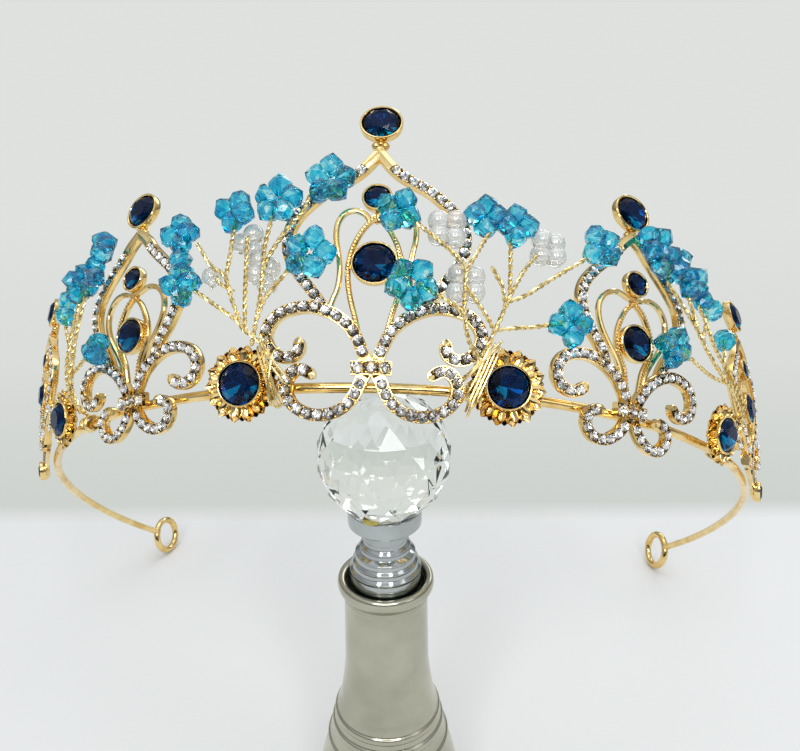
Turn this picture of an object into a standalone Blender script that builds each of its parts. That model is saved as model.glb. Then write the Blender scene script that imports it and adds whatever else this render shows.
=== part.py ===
"""Beaded tiara resting on a small ball-topped display stand.

The tiara is laid out on one curved surface: along runs round the band from its
middle, up climbs the panels, out stands off towards the viewer. All three are
in millimetres. The middle panel's lower scrolls rest on the stand's ball and the
two end loops rest on the table. +X is the viewer's right, +Y points back, +Z is
up, and the origin is the middle of the stand's underside.
"""
import math

import bmesh
import bpy
from mathutils import Matrix, Vector

MM = 0.001
GAP = 0.3
# largest sliver, in points, that is dropped after a union
SLIVER_POINTS = 6
# the two halves of a panel differ by this much, so that none of their edges coincide
HAND_SHIFT = 0.017

# band curve seen along its own axis
BAND_HALF_WIDTH = 88.1
BAND_HALF_DEPTH = 97.8
BAND_SQUARENESS = 0.962
BAND_END = math.radians(111.0)
BAND_SAMPLES = 600

# lean of the surface: it flares outward at the band and stands upright higher up
LEAN_AT_BAND = math.radians(17.0)
LEAN_AT_TOP = math.radians(-1.0)
LEAN_HEIGHT = 50.0

# pose on the stand
TILT = math.radians(44.85)
TIARA_SIDE = -1.6
ROD_RADIUS = 1.0
LOOP_RADIUS = 4.9
LOOP_WIRE = 1.15

# layers that stand off the surface
STRIP_BACK = 1.4
STRIP_FRONT = 2.9
THIN_WIDTH = 1.5
THIN_INSET = 0.25
STEM_FRONT = 1.95
BEZEL_BACK = 1.2
BEZEL_FLOOR = 2.0
BEZEL_RIM = 3.3
GEM_RISE = 1.3
WIRE_RADIUS = 0.5
BEAD_RADIUS = 2.0
BEAD_LENGTH = 3.9
BEAD_TIP = 0.6
PEARL_RADIUS = 1.9

# stand; the drop leaves a hair's breadth between the ball and the middle panel's lower scrolls
BALL_RADIUS = 12.2
BALL_BEHIND_ROD = 2.4
BALL_DROP = 14.0

GOLD = "gold"
GEM = "blue_gem"
BEAD = "aqua_bead"
PEARL = "pearl"
CRYSTAL = "crystal"
CHROME = "chrome"
NICKEL = "nickel"

MATERIALS = {
    # name: (red, green, blue, metallic, roughness)
    GOLD: (0.83, 0.60, 0.22, 1.0, 0.22),
    GEM: (0.01, 0.05, 0.16, 0.0, 0.08),
    BEAD: (0.10, 0.55, 0.68, 0.0, 0.10),
    PEARL: (0.88, 0.87, 0.84, 0.0, 0.20),
    CRYSTAL: (0.90, 0.91, 0.90, 0.0, 0.04),
    CHROME: (0.75, 0.76, 0.78, 1.0, 0.08),
    NICKEL: (0.62, 0.59, 0.54, 1.0, 0.30),
}

# strips of the middle panel, right half: points (along, up)
CENTRE_STRIPS = {
    "upper_scroll": (2.1, [(0.6, 3.4), (1.8, 6.6), (3.0, 9.1), (4.6, 10.9), (7.0, 12.5), (10.0, 13.5),
                           (12.8, 13.4), (15.2, 12.6), (16.9, 11.0), (17.6, 8.9), (16.9, 6.6),
                           (15.1, 5.2), (13.2, 5.1), (12.0, 6.2), (11.9, 8.4)]),
    "lower_scroll": (2.1, [(0.6, 2.8), (1.7, 0.8), (2.6, -1.3), (4.0, -3.1), (6.1, -4.3), (8.5, -4.7),
                           (11.0, -4.2), (13.2, -2.7), (14.2, -0.4), (13.8, 1.6), (12.4, 2.9),
                           (10.8, 2.7), (9.3, 1.5)]),
    "arch": (1.9, [(-0.4, 42.8), (1.7, 39.8), (3.4, 37.9), (5.6, 36.3), (7.9, 34.9), (10.1, 33.1),
                   (12.2, 31.0), (13.7, 28.6), (14.3, 26.0), (14.1, 23.3), (13.1, 20.7), (11.5, 18.3),
                   (10.0, 16.3), (8.6, 14.3), (7.9, 13.0)]),
    "teardrop": (0.9, [(-0.5, 29.9), (1.2, 28.5), (2.6, 26.4), (3.8, 23.4), (4.3, 20.4), (4.2, 17.6),
                       (3.7, 14.6), (3.0, 12.0), (2.4, 9.4)]),
    "outer_strand": (0.9, [(0.9, 28.5), (1.9, 30.1), (3.6, 30.9), (5.3, 30.3), (6.3, 28.3), (6.4, 25.6),
                           (5.9, 22.6), (5.6, 19.6), (5.9, 16.8), (6.6, 14.8), (7.2, 13.0)]),
}

# strips of a side panel, one half: points (along from the panel's middle, up)
SIDE_STRIPS = {
    "upper_scroll": (2.1, [(0.5, 1.2), (2.2, 4.3), (3.9, 6.4), (6.3, 8.1), (9.0, 9.0), (11.6, 8.9),
                           (13.8, 8.0), (15.0, 6.2), (15.1, 4.3), (14.1, 2.9), (12.3, 2.3), (10.6, 2.8),
                           (9.5, 4.2)]),
    "lower_scroll": (2.0, [(0.4, 0.4), (1.2, -1.6), (2.7, -3.5), (5.1, -4.8), (7.6, -4.6), (9.1, -2.9),
                           (8.9, -1.0), (7.4, 0.0), (5.7, 0.2)]),
    "arch": (1.9, [(-0.3, 33.2), (1.9, 31.2), (3.8, 28.8), (6.0, 26.5), (8.3, 24.2), (10.1, 21.6),
                   (10.7, 18.9), (10.2, 16.2), (8.9, 13.6), (7.4, 11.4), (6.3, 9.4), (5.8, 7.8)]),
    "heart_loop": (0.9, [(-0.5, 20.9), (1.4, 21.1), (3.3, 21.7), (5.4, 21.1), (6.9, 19.3), (7.3, 17.0),
                         (6.7, 14.5), (5.4, 12.2), (3.9, 10.0), (2.8, 7.8), (2.4, 5.4)]),
    "teardrop": (0.8, [(-0.6, 20.7), (1.5, 19.0), (2.9, 16.6), (3.7, 14.0), (3.6, 11.6), (2.7, 9.6),
                       (1.9, 7.6), (1.4, 4.6)]),
}

# strips of an end panel, one half
END_STRIPS = {
    "upper_scroll": (1.9, [(0.4, 1.6), (1.8, 4.2), (3.4, 6.0), (5.8, 7.3), (8.2, 7.2), (9.8, 5.6),
                           (9.4, 3.7), (7.8, 3.0), (6.6, 4.1)]),
    "arch": (1.8, [(-0.3, 26.0), (1.8, 24.2), (3.6, 21.6), (5.8, 19.2), (7.4, 16.4), (7.5, 13.4),
                   (6.3, 10.6), (5.2, 8.4), (4.8, 6.9)]),
    "teardrop": (0.9, [(-0.6, 17.7), (2.1, 16.8), (3.4, 15.0), (3.5, 12.4), (3.2, 9.6), (2.2, 7.2),
                       (1.6, 4.2)]),
}

PANELS = {
    # name: (middle along, lean of the middle, lift of the surface at the band, lift per mm of height)
    "mid_panel_left": (-46.0, 0.055, 0.0, 0.0),
    "mid_panel_right": (46.2, -0.07, 0.0, 0.0),
    "end_panel_left": (-88.5, 0.12, 0.5, -0.06),
    "end_panel_right": (90.0, -0.30, 0.5, -0.12),
}

CENTRE_ROW = (0.0, 0.0, 0.0, 0.0)

GEMS = {
    # panel kind: name: (along, up, radius)
    "centre": {"finial": (0.0, 48.3, 3.2), "small": (0.0, 33.0, 2.1), "large": (0.0, 20.9, 3.4)},
    "side": {"finial": (0.0, 37.6, 3.1), "small": (0.0, 23.8, 2.0), "large": (0.0, 12.9, 3.0)},
    "end": {"finial": (0.0, 31.2, 2.7), "small": (0.0, 20.2, 1.7), "large": (0.0, 12.4, 2.7),
            "low": (12.0, -1.4, 1.7)},
}

ROSETTES = {
    # name: (along, up, gem radius, petal tip radius)
    "rosette_left": (-21.6, 0.9, 3.6, 5.8),
    "rosette_right": (22.1, 1.2, 3.5, 5.8),
    "rosette_far_left": (-69.0, 2.2, 3.3, 5.2),
    "rosette_far_right": (71.3, 2.6, 3.3, 5.2),
}
ROSETTE_PETALS = 14
ROSETTE_OUT = 2.4

BEAD_CLUSTERS = {
    # name: rings of beads, each (along, up, out, ring radius, beads in the ring, turn in degrees)
    "beads_left_a": [(-22.5, 30.8, 5.2, 1.9, 4, 250)],
    "beads_left_b": [(-15.4, 32.1, 5.2, 2.5, 5, 225)],
    "beads_left_c": [(-7.3, 35.2, 5.2, 2.6, 5, 230)],
    "beads_left_d": [(-9.9, 22.0, 5.2, 2.7, 5, 218)],
    "beads_left_e": [(-32.4, 28.4, 5.2, 1.9, 4, 270), (-32.2, 23.8, 5.2, 0.0, 1, 0),
                     (-31.8, 19.2, 5.2, 2.1, 4, 90)],
    "beads_right_i": [(3.6, 28.8, 6.4, 2.1, 4, 330)],
    "beads_right_j": [(6.0, 16.4, 6.6, 2.6, 5, 340)],
    "beads_right_k": [(16.9, 29.4, 5.2, 1.9, 4, 270), (21.6, 28.4, 5.2, 1.9, 4, 270)],
    "beads_right_l": [(35.9, 27.6, 5.2, 2.0, 4, 225)],
    "beads_right_m": [(31.2, 12.9, 5.2, 2.1, 4, 190)],
    "beads_far_left_a": [(-50.9, 31.7, 5.2, 1.4, 3, 243), (-54.0, 26.6, 5.2, 2.1, 4, 63)],
    "beads_far_left_b": [(-62.2, 22.6, 5.2, 1.6, 2, 90)],
    "beads_far_left_c": [(-52.0, 11.5, 5.2, 1.4, 3, 180)],
    "beads_far_right_a": [(46.6, 31.4, 5.2, 1.9, 4, 320)],
    "beads_far_right_b": [(52.0, 29.6, 5.2, 1.2, 2, 60), (55.3, 26.8, 5.2, 1.7, 4, 325),
                          (59.3, 23.9, 5.2, 1.2, 2, 145)],
    "beads_far_right_c": [(51.6, 13.6, 5.2, 2.0, 4, 350)],
    "beads_far_right_d": [(65.2, 19.2, 5.2, 0.0, 1, 300)],
}

PEARL_CLUSTERS = {
    # name: rings of pearls, each (along, up, out, ring radius, pearls in the ring, turn in degrees)
    "pearls_left_a": [(-21.6, 26.6, 1.2, 1.6, 3, 296), (-19.2, 21.6, 1.2, 1.6, 3, 116),
                      (-18.2, 18.4, 1.2, 0.0, 1, 0)],
    "pearls_left_b": [(-28.6, 21.2, 1.2, 0.0, 1, 0)],
    "pearls_right_n": [(11.0, 26.6, 5.0, 2.0, 4, 315)],
    "pearls_right_o": [(14.2, 17.3, 5.0, 2.0, 4, 45)],
    "pearls_right_p": [(28.4, 27.0, 1.2, 2.0, 4, 225)],
}

WIRE_SPRAYS = {
    # name: (coils round the rod, branches as points (along, up, out))
    "wire_spray_left": ([-16.2, -17.5, -18.8], [
        [(-15.9, 1.7, 0.4), (-15.2, 3.3, 4.0), (-17.2, 6.9, 4.6), (-20.4, 9.7, 4.5), (-22.1, 11.7, 4.4),
         (-25.9, 14.8, 4.4), (-27.6, 16.2, 4.6)],
        [(-20.6, 9.5, 4.4), (-22.8, 15.3, 4.4), (-24.2, 19.7, 4.4), (-26.6, 21.6, 4.4), (-28.3, 24.4, 4.4)],
        [(-24.0, 19.2, 4.4), (-23.3, 23.0, 4.6), (-22.6, 27.0, 5.1)],
        [(-22.6, 16.7, 4.4), (-25.6, 18.9, 3.4), (-26.8, 20.1, 2.2)],
        [(-20.4, 9.3, 4.4), (-20.6, 16.0, 4.2), (-20.6, 20.4, 4.1), (-20.6, 24.0, 4.1)],
        [(-19.3, 7.0, 4.4), (-18.4, 12.0, 4.4), (-17.7, 17.3, 4.4), (-17.5, 23.6, 4.4), (-16.4, 28.4, 5.0)],
        [(-17.8, 19.0, 4.4), (-16.6, 22.4, 4.4), (-13.9, 26.8, 4.6), (-11.3, 29.8, 4.8), (-10.8, 31.0, 5.0)],
        [(-18.6, 11.0, 4.4), (-17.3, 14.5, 4.4), (-15.8, 16.6, 4.4), (-14.4, 18.0, 4.8)],
    ]),
    "wire_spray_right": ([16.6, 17.9, 19.2], [
        [(17.3, 1.6, 0.4), (16.4, 3.4, 3.9), (17.6, 6.2, 4.5), (18.6, 8.6, 4.4), (19.9, 12.1, 4.4),
         (21.3, 16.2, 4.4), (23.4, 21.0, 4.0), (25.9, 24.7, 2.4)],
        [(20.9, 15.2, 4.4), (24.0, 16.9, 4.4), (27.8, 20.2, 4.4), (31.6, 23.4, 4.8)],
        [(21.2, 15.6, 4.4), (21.1, 20.0, 4.6), (20.9, 23.6, 5.0)],
        [(20.6, 14.2, 4.6), (19.6, 17.0, 6.2), (18.8, 18.0, 6.8)],
        [(19.2, 10.2, 4.4), (22.0, 10.9, 4.4), (25.0, 11.5, 4.4), (27.6, 12.2, 5.0)],
        [(17.6, 4.6, 4.2), (15.4, 7.0, 5.6), (14.1, 10.0, 7.4), (13.7, 14.0, 7.8), (13.6, 18.8, 7.9),
         (11.4, 21.6, 8.0), (9.4, 23.6, 7.6), (6.4, 26.6, 6.7)],
        [(13.7, 18.4, 7.9), (15.2, 21.6, 7.6), (16.4, 24.2, 6.6)],
        [(14.0, 11.0, 7.6), (12.6, 12.8, 7.6), (9.7, 14.7, 6.9)],
        [(13.8, 16.0, 7.9), (16.8, 12.6, 6.6), (19.2, 10.0, 4.6)],
    ]),
    "wire_spray_far_left": ([-63.8, -65.2], [
        [(-64.4, 1.5, 0.4), (-63.2, 3.4, 2.8), (-62.6, 7.0, 4.2), (-61.4, 11.4, 4.4), (-60.2, 16.0, 4.4),
         (-58.0, 20.6, 4.6), (-57.0, 22.2, 5.0)],
        [(-61.9, 9.4, 4.3), (-58.8, 10.3, 4.4), (-56.0, 11.0, 4.8)],
        [(-60.9, 13.2, 4.4), (-62.3, 15.6, 4.6), (-62.4, 18.6, 5.2)],
    ]),
    "wire_spray_far_right": ([76.0, 77.3], [
        [(77.0, 1.6, 0.4), (77.0, 4.6, 3.4), (75.4, 8.6, 4.4), (71.3, 11.6, 4.4), (66.6, 12.8, 4.4),
         (61.9, 15.4, 4.4), (59.9, 17.6, 4.4), (59.7, 19.6, 4.8)],
        [(70.3, 11.8, 4.4), (67.3, 14.2, 4.4), (65.6, 17.0, 5.1)],
        [(69.9, 11.9, 4.4), (62.7, 11.1, 4.4), (57.4, 12.4, 4.8)],
        [(60.1, 17.2, 4.4), (55.0, 21.4, 4.4), (50.6, 25.0, 4.5), (49.2, 27.9, 4.9)],
    ]),
}

STOPPER_PROFILE = [
    # (radius, depth below the ball's top)
    (0.0, 24.75), (3.8, 24.4), (5.4, 23.6), (6.6, 22.8), (6.75, 22.7), (6.9, 22.85), (6.9, 25.85),
    (6.5, 26.25), (4.2, 26.65), (4.0, 28.4), (4.3, 29.8), (5.4, 31.9), (5.6, 32.0), (6.25, 34.1),
    (6.45, 34.2), (7.1, 37.0), (7.15, 39.2), (0.0, 39.2),
]
POST_PROFILE = [
    (0.0, 39.5), (7.5, 39.5), (7.6, 38.4), (8.0, 37.9), (8.6, 37.8), (9.1, 38.2), (9.25, 39.1), (9.1, 40.0),
    (8.4, 40.9), (8.0, 41.4), (8.25, 42.0), (8.0, 42.8), (8.1, 47.8), (8.3, 57.8), (8.8, 62.3), (9.5, 66.6),
    (10.3, 68.4), (10.8, 70.2), (11.5, 72.3), (12.85, 77.3), (13.6, 81.8),
]
POST_FOOT = [
    # (radius, height over the table)
    (16.4, 8.0), (18.0, 4.0), (18.0, 1.0), (17.4, 0.0), (0.0, 0.0),
]


def clear_scene():
    for item in list(bpy.data.objects):
        bpy.data.objects.remove(item)


def make_materials():
    made = {}
    for name, (red, green, blue, metallic, roughness) in MATERIALS.items():
        material = bpy.data.materials.new(name)
        material.use_nodes = True
        shader = material.node_tree.nodes["Principled BSDF"]
        shader.inputs["Base Color"].default_value = (red, green, blue, 1.0)
        shader.inputs["Metallic"].default_value = metallic
        shader.inputs["Roughness"].default_value = roughness
        made[name] = material
    return made


def power_wave(value, exponent):
    return math.copysign(abs(value) ** exponent, value)


def band_point(angle):
    x = BAND_HALF_WIDTH * power_wave(math.sin(angle), BAND_SQUARENESS)
    y = BAND_HALF_DEPTH * (1.0 - power_wave(math.cos(angle), BAND_SQUARENESS))
    return x, y


def sample_band():
    """Rows of (length from the middle, x, y) round the right half of the band."""
    rows = [(0.0, 0.0, 0.0)]
    for step in range(1, BAND_SAMPLES + 1):
        x, y = band_point(BAND_END * step / BAND_SAMPLES)
        length, last_x, last_y = rows[-1]
        rows.append((length + math.hypot(x - last_x, y - last_y), x, y))
    return rows


BAND_ROWS = sample_band()
BAND_LENGTH = BAND_ROWS[-1][0]


def band_at(along):
    """Point and outward direction of the band at a length from its middle, in the band's own plane."""
    side = -1.0 if along < 0 else 1.0
    wanted = min(abs(along), BAND_LENGTH - 1e-6)
    low, high = 0, len(BAND_ROWS) - 1
    while high - low > 1:
        middle = (low + high) // 2
        if BAND_ROWS[middle][0] <= wanted:
            low = middle
        else:
            high = middle
    length_a, xa, ya = BAND_ROWS[low]
    length_b, xb, yb = BAND_ROWS[high]
    part = (wanted - length_a) / (length_b - length_a)
    wide_a = BAND_ROWS[max(low - 3, 0)]
    wide_b = BAND_ROWS[min(high + 3, len(BAND_ROWS) - 1)]
    dx, dy = wide_b[1] - wide_a[1], wide_b[2] - wide_a[2]
    if low < 4:
        dy *= (low + part) / 8.0
    size = math.hypot(dx, dy)
    point = Vector((side * (xa + (xb - xa) * part), ya + (yb - ya) * part, 0.0))
    outward = Vector((side * dy / size, -dx / size, 0.0))
    return point, outward


OUT = Vector((0.0, 0.0, 1.0))
ACROSS = Vector((1.0, 0.0, 0.0))
POSE = Matrix.Rotation(-TILT, 3, "X")


def loop_centre(side):
    point, outward = band_at(side * BAND_LENGTH)
    tangent = Vector((side * -outward.y * side, outward.x * side, 0.0))
    if tangent.y < 0:
        tangent = -tangent
    return point + tangent * LOOP_RADIUS, tangent


def pose_height():
    """Height of the rod's middle over the table when the end loops touch the table."""
    centre, tangent = loop_centre(1.0)
    plane_drop = math.hypot((POSE @ tangent).z, (POSE @ Vector((0.0, 0.0, 1.0))).z)
    lowest = (POSE @ centre).z - LOOP_RADIUS * plane_drop - LOOP_WIRE
    return -lowest


ROD_HEIGHT = pose_height()
BALL_CENTRE_HEIGHT = ROD_HEIGHT - BALL_DROP
BALL_TOP = BALL_CENTRE_HEIGHT + BALL_RADIUS
ROD_MIDDLE = Vector((TIARA_SIDE, -BALL_BEHIND_ROD, ROD_HEIGHT))


def to_world(point):
    return POSE @ point + ROD_MIDDLE


def surface(along, up, out):
    """World point, in millimetres, for a place on the tiara's surface."""
    point, outward = band_at(along)
    rate = (LEAN_AT_TOP - LEAN_AT_BAND) / LEAN_HEIGHT
    lean = LEAN_AT_BAND + rate * up
    spread = (math.cos(LEAN_AT_BAND) - math.cos(lean)) / rate
    height = (math.sin(lean) - math.sin(LEAN_AT_BAND)) / rate
    flat = point + outward * (spread + out * math.cos(lean))
    flat.z = height - out * math.sin(lean)
    return to_world(flat)


def surface_frame(along, up, out):
    """World point with the directions along, up and out at a place on the surface."""
    here = surface(along, up, out)
    right = (surface(along + 0.5, up, out) - surface(along - 0.5, up, out)).normalized()
    front = (surface(along, up, out + 1.0) - here).normalized()
    above = front.cross(right).normalized()
    return here, right, above, front


def new_object(name, mesh_data, material, scale=MM):
    mesh = bpy.data.meshes.new(name)
    bmesh.ops.scale(mesh_data, vec=(scale, scale, scale), verts=mesh_data.verts)
    mesh_data.normal_update()
    mesh_data.to_mesh(mesh)
    mesh_data.free()
    mesh.materials.append(material)
    item = bpy.data.objects.new(name, mesh)
    bpy.context.scene.collection.objects.link(item)
    return item


def skin(rings, closed=False):
    """A bmesh skinned over rings of points, capped at both ends unless it closes on itself."""
    mesh_data = bmesh.new()
    rows = [[mesh_data.verts.new(point) for point in ring] for ring in rings]
    count = len(rows[0])
    pairs = list(zip(rows, rows[1:]))
    if closed:
        pairs.append((rows[-1], rows[0]))
    for first, second in pairs:
        for index in range(count):
            after = (index + 1) % count
            mesh_data.faces.new((first[index], first[after], second[after], second[index]))
    if not closed:
        mesh_data.faces.new(list(reversed(rows[0])))
        mesh_data.faces.new(rows[-1])
    bmesh.ops.recalc_face_normals(mesh_data, faces=mesh_data.faces)
    return mesh_data


def strip(points, width, back, front):
    """A flat strip with square edges that follows points (along, up); its thickness lies along out."""
    rings = []
    for index, (along, up) in enumerate(points):
        before = points[max(index - 1, 0)]
        after = points[min(index + 1, len(points) - 1)]
        step_along, step_up = after[0] - before[0], after[1] - before[1]
        size = math.hypot(step_along, step_up)
        side_along, side_up = -step_up / size * width / 2, step_along / size * width / 2
        left = Vector((along + side_along, up + side_up, 0.0))
        right = Vector((along - side_along, up - side_up, 0.0))
        rings.append([left + OUT * back, right + OUT * back, right + OUT * front, left + OUT * front])
    return skin(rings)


def tube(points, radius, sides, closed=False):
    """A round wire that follows world points; its rings turn as little as they can."""
    count = len(points)
    rings = []
    across = None
    for index, point in enumerate(points):
        if closed:
            step = points[(index + 1) % count] - points[index - 1]
        else:
            step = points[min(index + 1, count - 1)] - points[max(index - 1, 0)]
        step.normalize()
        if across is None:
            across = step.orthogonal().normalized()
        across = (across - step * across.dot(step)).normalized()
        other = step.cross(across)
        rings.append([
            point + (across * math.cos(turn) + other * math.sin(turn)) * radius
            for turn in (2 * math.pi * k / sides for k in range(sides))])
    return skin(rings, closed)


def lathe(profile, centre, axis, sides, across=None, turn=0.0):
    """A turned solid; profile rows are (radius, distance along the axis), both ends at radius 0."""
    axis = axis.normalized()
    across = across or axis.orthogonal().normalized()
    other = axis.cross(across)
    mesh_data = bmesh.new()
    rows = []
    for radius, distance in profile:
        middle = centre + axis * distance
        if radius == 0.0:
            rows.append([mesh_data.verts.new(middle)])
        else:
            rows.append([
                mesh_data.verts.new(middle + (across * math.cos(angle) + other * math.sin(angle)) * radius)
                for angle in (turn + 2 * math.pi * k / sides for k in range(sides))])
    for first, second in zip(rows, rows[1:]):
        for index in range(sides):
            after = (index + 1) % sides
            corners = [first[index % len(first)], first[after % len(first)],
                       second[after % len(second)], second[index % len(second)]]
            unique = list(dict.fromkeys(corners))
            mesh_data.faces.new(unique)
    bmesh.ops.recalc_face_normals(mesh_data, faces=mesh_data.faces)
    return mesh_data


def keep_largest_island(mesh_data):
    """Removes the slivers that a union can leave beside the solid."""
    islands = []
    seen = set()
    for start in mesh_data.verts:
        if start in seen:
            continue
        seen.add(start)
        island = [start]
        for vertex in island:
            for edge in vertex.link_edges:
                other = edge.other_vert(vertex)
                if other not in seen:
                    seen.add(other)
                    island.append(other)
        islands.append(island)
    islands.sort(key=len)
    for island in islands[:-1]:
        if len(island) <= SLIVER_POINTS:
            bmesh.ops.delete(mesh_data, geom=island, context="VERTS")


def weld(name, shapes, material, place=None):
    """One soldered solid out of shapes, in millimetres, that run into each other.

    With a placing function the shapes are flat (along, up, out) and are laid on the
    surface once they are one solid.
    """
    base = new_object(name, shapes[0], material, 1.0)
    for index, shape in enumerate(shapes[1:]):
        other = new_object(f"{name}_join_{index}", shape, material, 1.0)
        modifier = base.modifiers.new("join", "BOOLEAN")
        modifier.operation = "UNION"
        modifier.solver = "MANIFOLD"
        modifier.object = other
        evaluated = base.evaluated_get(bpy.context.evaluated_depsgraph_get())
        joined = bpy.data.meshes.new_from_object(evaluated)
        base.modifiers.clear()
        base.data = joined
        bpy.data.objects.remove(other)
    mesh_data = bmesh.new()
    mesh_data.from_mesh(base.data)
    keep_largest_island(mesh_data)
    bmesh.ops.triangulate(mesh_data, faces=mesh_data.faces)
    for vertex in mesh_data.verts:
        vertex.co = (place(*vertex.co) if place else vertex.co) * MM
    mesh_data.normal_update()
    mesh_data.to_mesh(base.data)
    mesh_data.free()
    base.data.name = name
    return base


def bezel(along, up, radius, sides):
    """An open cup, in flat coordinates, that holds a round gem."""
    profile = [
        (0.0, BEZEL_BACK), (radius * 0.8, BEZEL_BACK), (radius + 0.55, BEZEL_FLOOR),
        (radius + 0.55, BEZEL_RIM), (radius + GAP, BEZEL_RIM), (radius + GAP, BEZEL_FLOOR),
        (0.0, BEZEL_FLOOR),
    ]
    return lathe(profile, Vector((along, up, 0.0)), OUT, sides, ACROSS)


def gem(name, centre, axis, across, radius, base_out, sides, material, place=None):
    """A faceted stone with a flat table; it is laid on the surface by its panel's placing function."""
    profile = [
        (0.0, base_out), (radius * 0.8, base_out), (radius, base_out + 0.7),
        (radius * 0.62, base_out + 0.7 + GEM_RISE * 0.8), (0.0, base_out + 0.7 + GEM_RISE * 0.95),
    ]
    return weld(name, [lathe(profile, centre, axis, sides, across)], material, place)


def panel_placer(middle, lean, lift, lift_rate):
    """Placing function for a panel whose middle line leans along the band."""
    def place(along, up, out):
        return surface(middle + lean * up + along, up, out + lift + lift_rate * up)

    return place


def mirrored(points):
    return [(HAND_SHIFT - along, up + HAND_SHIFT) for along, up in points]


def panel(name, strips, gems, row, extras, material):
    """A panel of strips and cups, soldered into one solid."""
    place = panel_placer(*row)
    shapes = [strip(points, width, STRIP_BACK, front) for width, front, points in extras]
    for width, points in strips.values():
        inset = THIN_INSET if width < THIN_WIDTH else 0.0
        for path in (points, mirrored(points)):
            shapes.append(strip(path, width, STRIP_BACK + inset, STRIP_FRONT - inset))
    side = -1.0 if row[0] < 0 else 1.0
    for along, up, radius in gems.values():
        shapes.append(bezel(side * along, up, radius, 10))
    return weld(name, shapes, material, place)


def rosette(name, along, up, gem_radius, tip_radius, material):
    """A ring of pointed leaves round a cup."""
    here, right, above, front = surface_frame(along, up, 0.0)
    back_ring, front_ring, waist = [], [], []
    for index in range(ROSETTE_PETALS * 2):
        angle = 2 * math.pi * index / (ROSETTE_PETALS * 2)
        radius = tip_radius if index % 2 == 0 else tip_radius * 0.8
        ray = right * math.cos(angle) + above * math.sin(angle)
        back_ring.append(here + ray * radius + front * (ROSETTE_OUT + 0.5))
        front_ring.append(here + ray * radius * 0.97 + front * (ROSETTE_OUT + 1.1))
        waist.append(here + ray * (gem_radius + 0.2) + front * ROSETTE_OUT)
    leaves = skin([waist, back_ring, front_ring])
    cup_profile = [
        (0.0, ROSETTE_OUT + 0.3), (gem_radius + 0.5, ROSETTE_OUT + 0.3),
        (gem_radius + 0.6, ROSETTE_OUT + 2.3), (gem_radius + GAP, ROSETTE_OUT + 2.3),
        (gem_radius + GAP, ROSETTE_OUT + 1.4), (0.0, ROSETTE_OUT + 1.4),
    ]
    return weld(name, [leaves, lathe(cup_profile, here, front, 14, right, 0.11)], material)


def bead_shapes(rings, round_beads):
    """Beads of one cluster, each a little into its neighbours."""
    shapes = []
    for along, up, out, ring_radius, count, turn in rings:
        here, right, above, front = surface_frame(along, up, out)
        for index in range(count):
            angle = math.radians(turn) + 2 * math.pi * index / count
            ray = right * math.cos(angle) + above * math.sin(angle)
            axis = above * math.cos(angle) - right * math.sin(angle)
            lift = 0.35 if index % 2 else -0.15
            middle = here + ray * ring_radius + front * lift
            if round_beads:
                size = PEARL_RADIUS
                profile = [(0.0, -size), (size * 0.87, -size * 0.5), (size * 0.87, size * 0.5), (0.0, size)]
                shapes.append(lathe(profile, middle, axis, 6, front, 0.17 * index))
            else:
                half = BEAD_LENGTH / 2
                profile = [(0.0, -half), (BEAD_TIP, -half), (BEAD_RADIUS, 0.0), (BEAD_TIP, half), (0.0, half)]
                shapes.append(lathe(profile, middle, axis, 6, front, 0.07 * index + 0.03))
    return shapes


def wire_spray(name, coils, branches, material):
    """Stems that fan out from coils wound round the rod."""
    shapes = []
    for points in branches:
        path = [surface(*point) for point in points]
        shapes.append(tube(path, WIRE_RADIUS - 0.007 * len(shapes), 4))
    coil_radius = ROD_RADIUS + GAP + WIRE_RADIUS * 1.4
    for number, along in enumerate(coils):
        here, right, above, front = surface_frame(along, 0.0, 0.0)
        ring = []
        for index in range(8):
            angle = 2 * math.pi * index / 8 + 0.1 * number
            ring.append(here + (above * math.cos(angle) + front * math.sin(angle)) * coil_radius)
        shapes.append(tube(ring, WIRE_RADIUS, 4, closed=True))
    first, last = coils[0], coils[-1]
    bar = [surface(first, coil_radius * 0.95, 0.15), surface((first + last) / 2, coil_radius * 0.95, 0.15),
           surface(last, coil_radius * 0.95, 0.15)]
    shapes.append(tube(bar, WIRE_RADIUS * 0.93, 4))
    return weld(name, shapes, material)


def band(material):
    """The rod with a closed loop at each end."""
    steps = 44
    points = []
    for index in range(steps + 1):
        along = -BAND_LENGTH + 2 * BAND_LENGTH * index / steps
        points.append(to_world(band_at(along)[0]))
    shapes = [tube(points, ROD_RADIUS, 6)]
    for side in (-1.0, 1.0):
        centre, tangent = loop_centre(side)
        ring = []
        for index in range(16):
            angle = 2 * math.pi * (index + 0.5) / 16
            flat = centre + tangent * LOOP_RADIUS * math.cos(angle)
            ring.append(to_world(flat + Vector((0.0, 0.0, LOOP_RADIUS * math.sin(angle)))))
        shapes.append(tube(ring, LOOP_WIRE, 6, closed=True))
    return weld("band", shapes, material)


def ball(material):
    """A faceted glass ball."""
    sides, rows = 14, 9
    profile = [(0.0, BALL_RADIUS)]
    for row in range(1, rows):
        angle = math.pi * row / rows
        profile.append((BALL_RADIUS * math.sin(angle), BALL_RADIUS * math.cos(angle)))
    profile.append((0.0, -BALL_RADIUS))
    centre = Vector((0.0, 0.0, BALL_CENTRE_HEIGHT))
    return new_object("crystal_ball", lathe(profile, centre, Vector((0, 0, 1)), sides), material)


def turned(name, profile, sides, material):
    return new_object(name, lathe(profile, Vector((0, 0, 0)), Vector((0, 0, 1)), sides), material)


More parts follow.
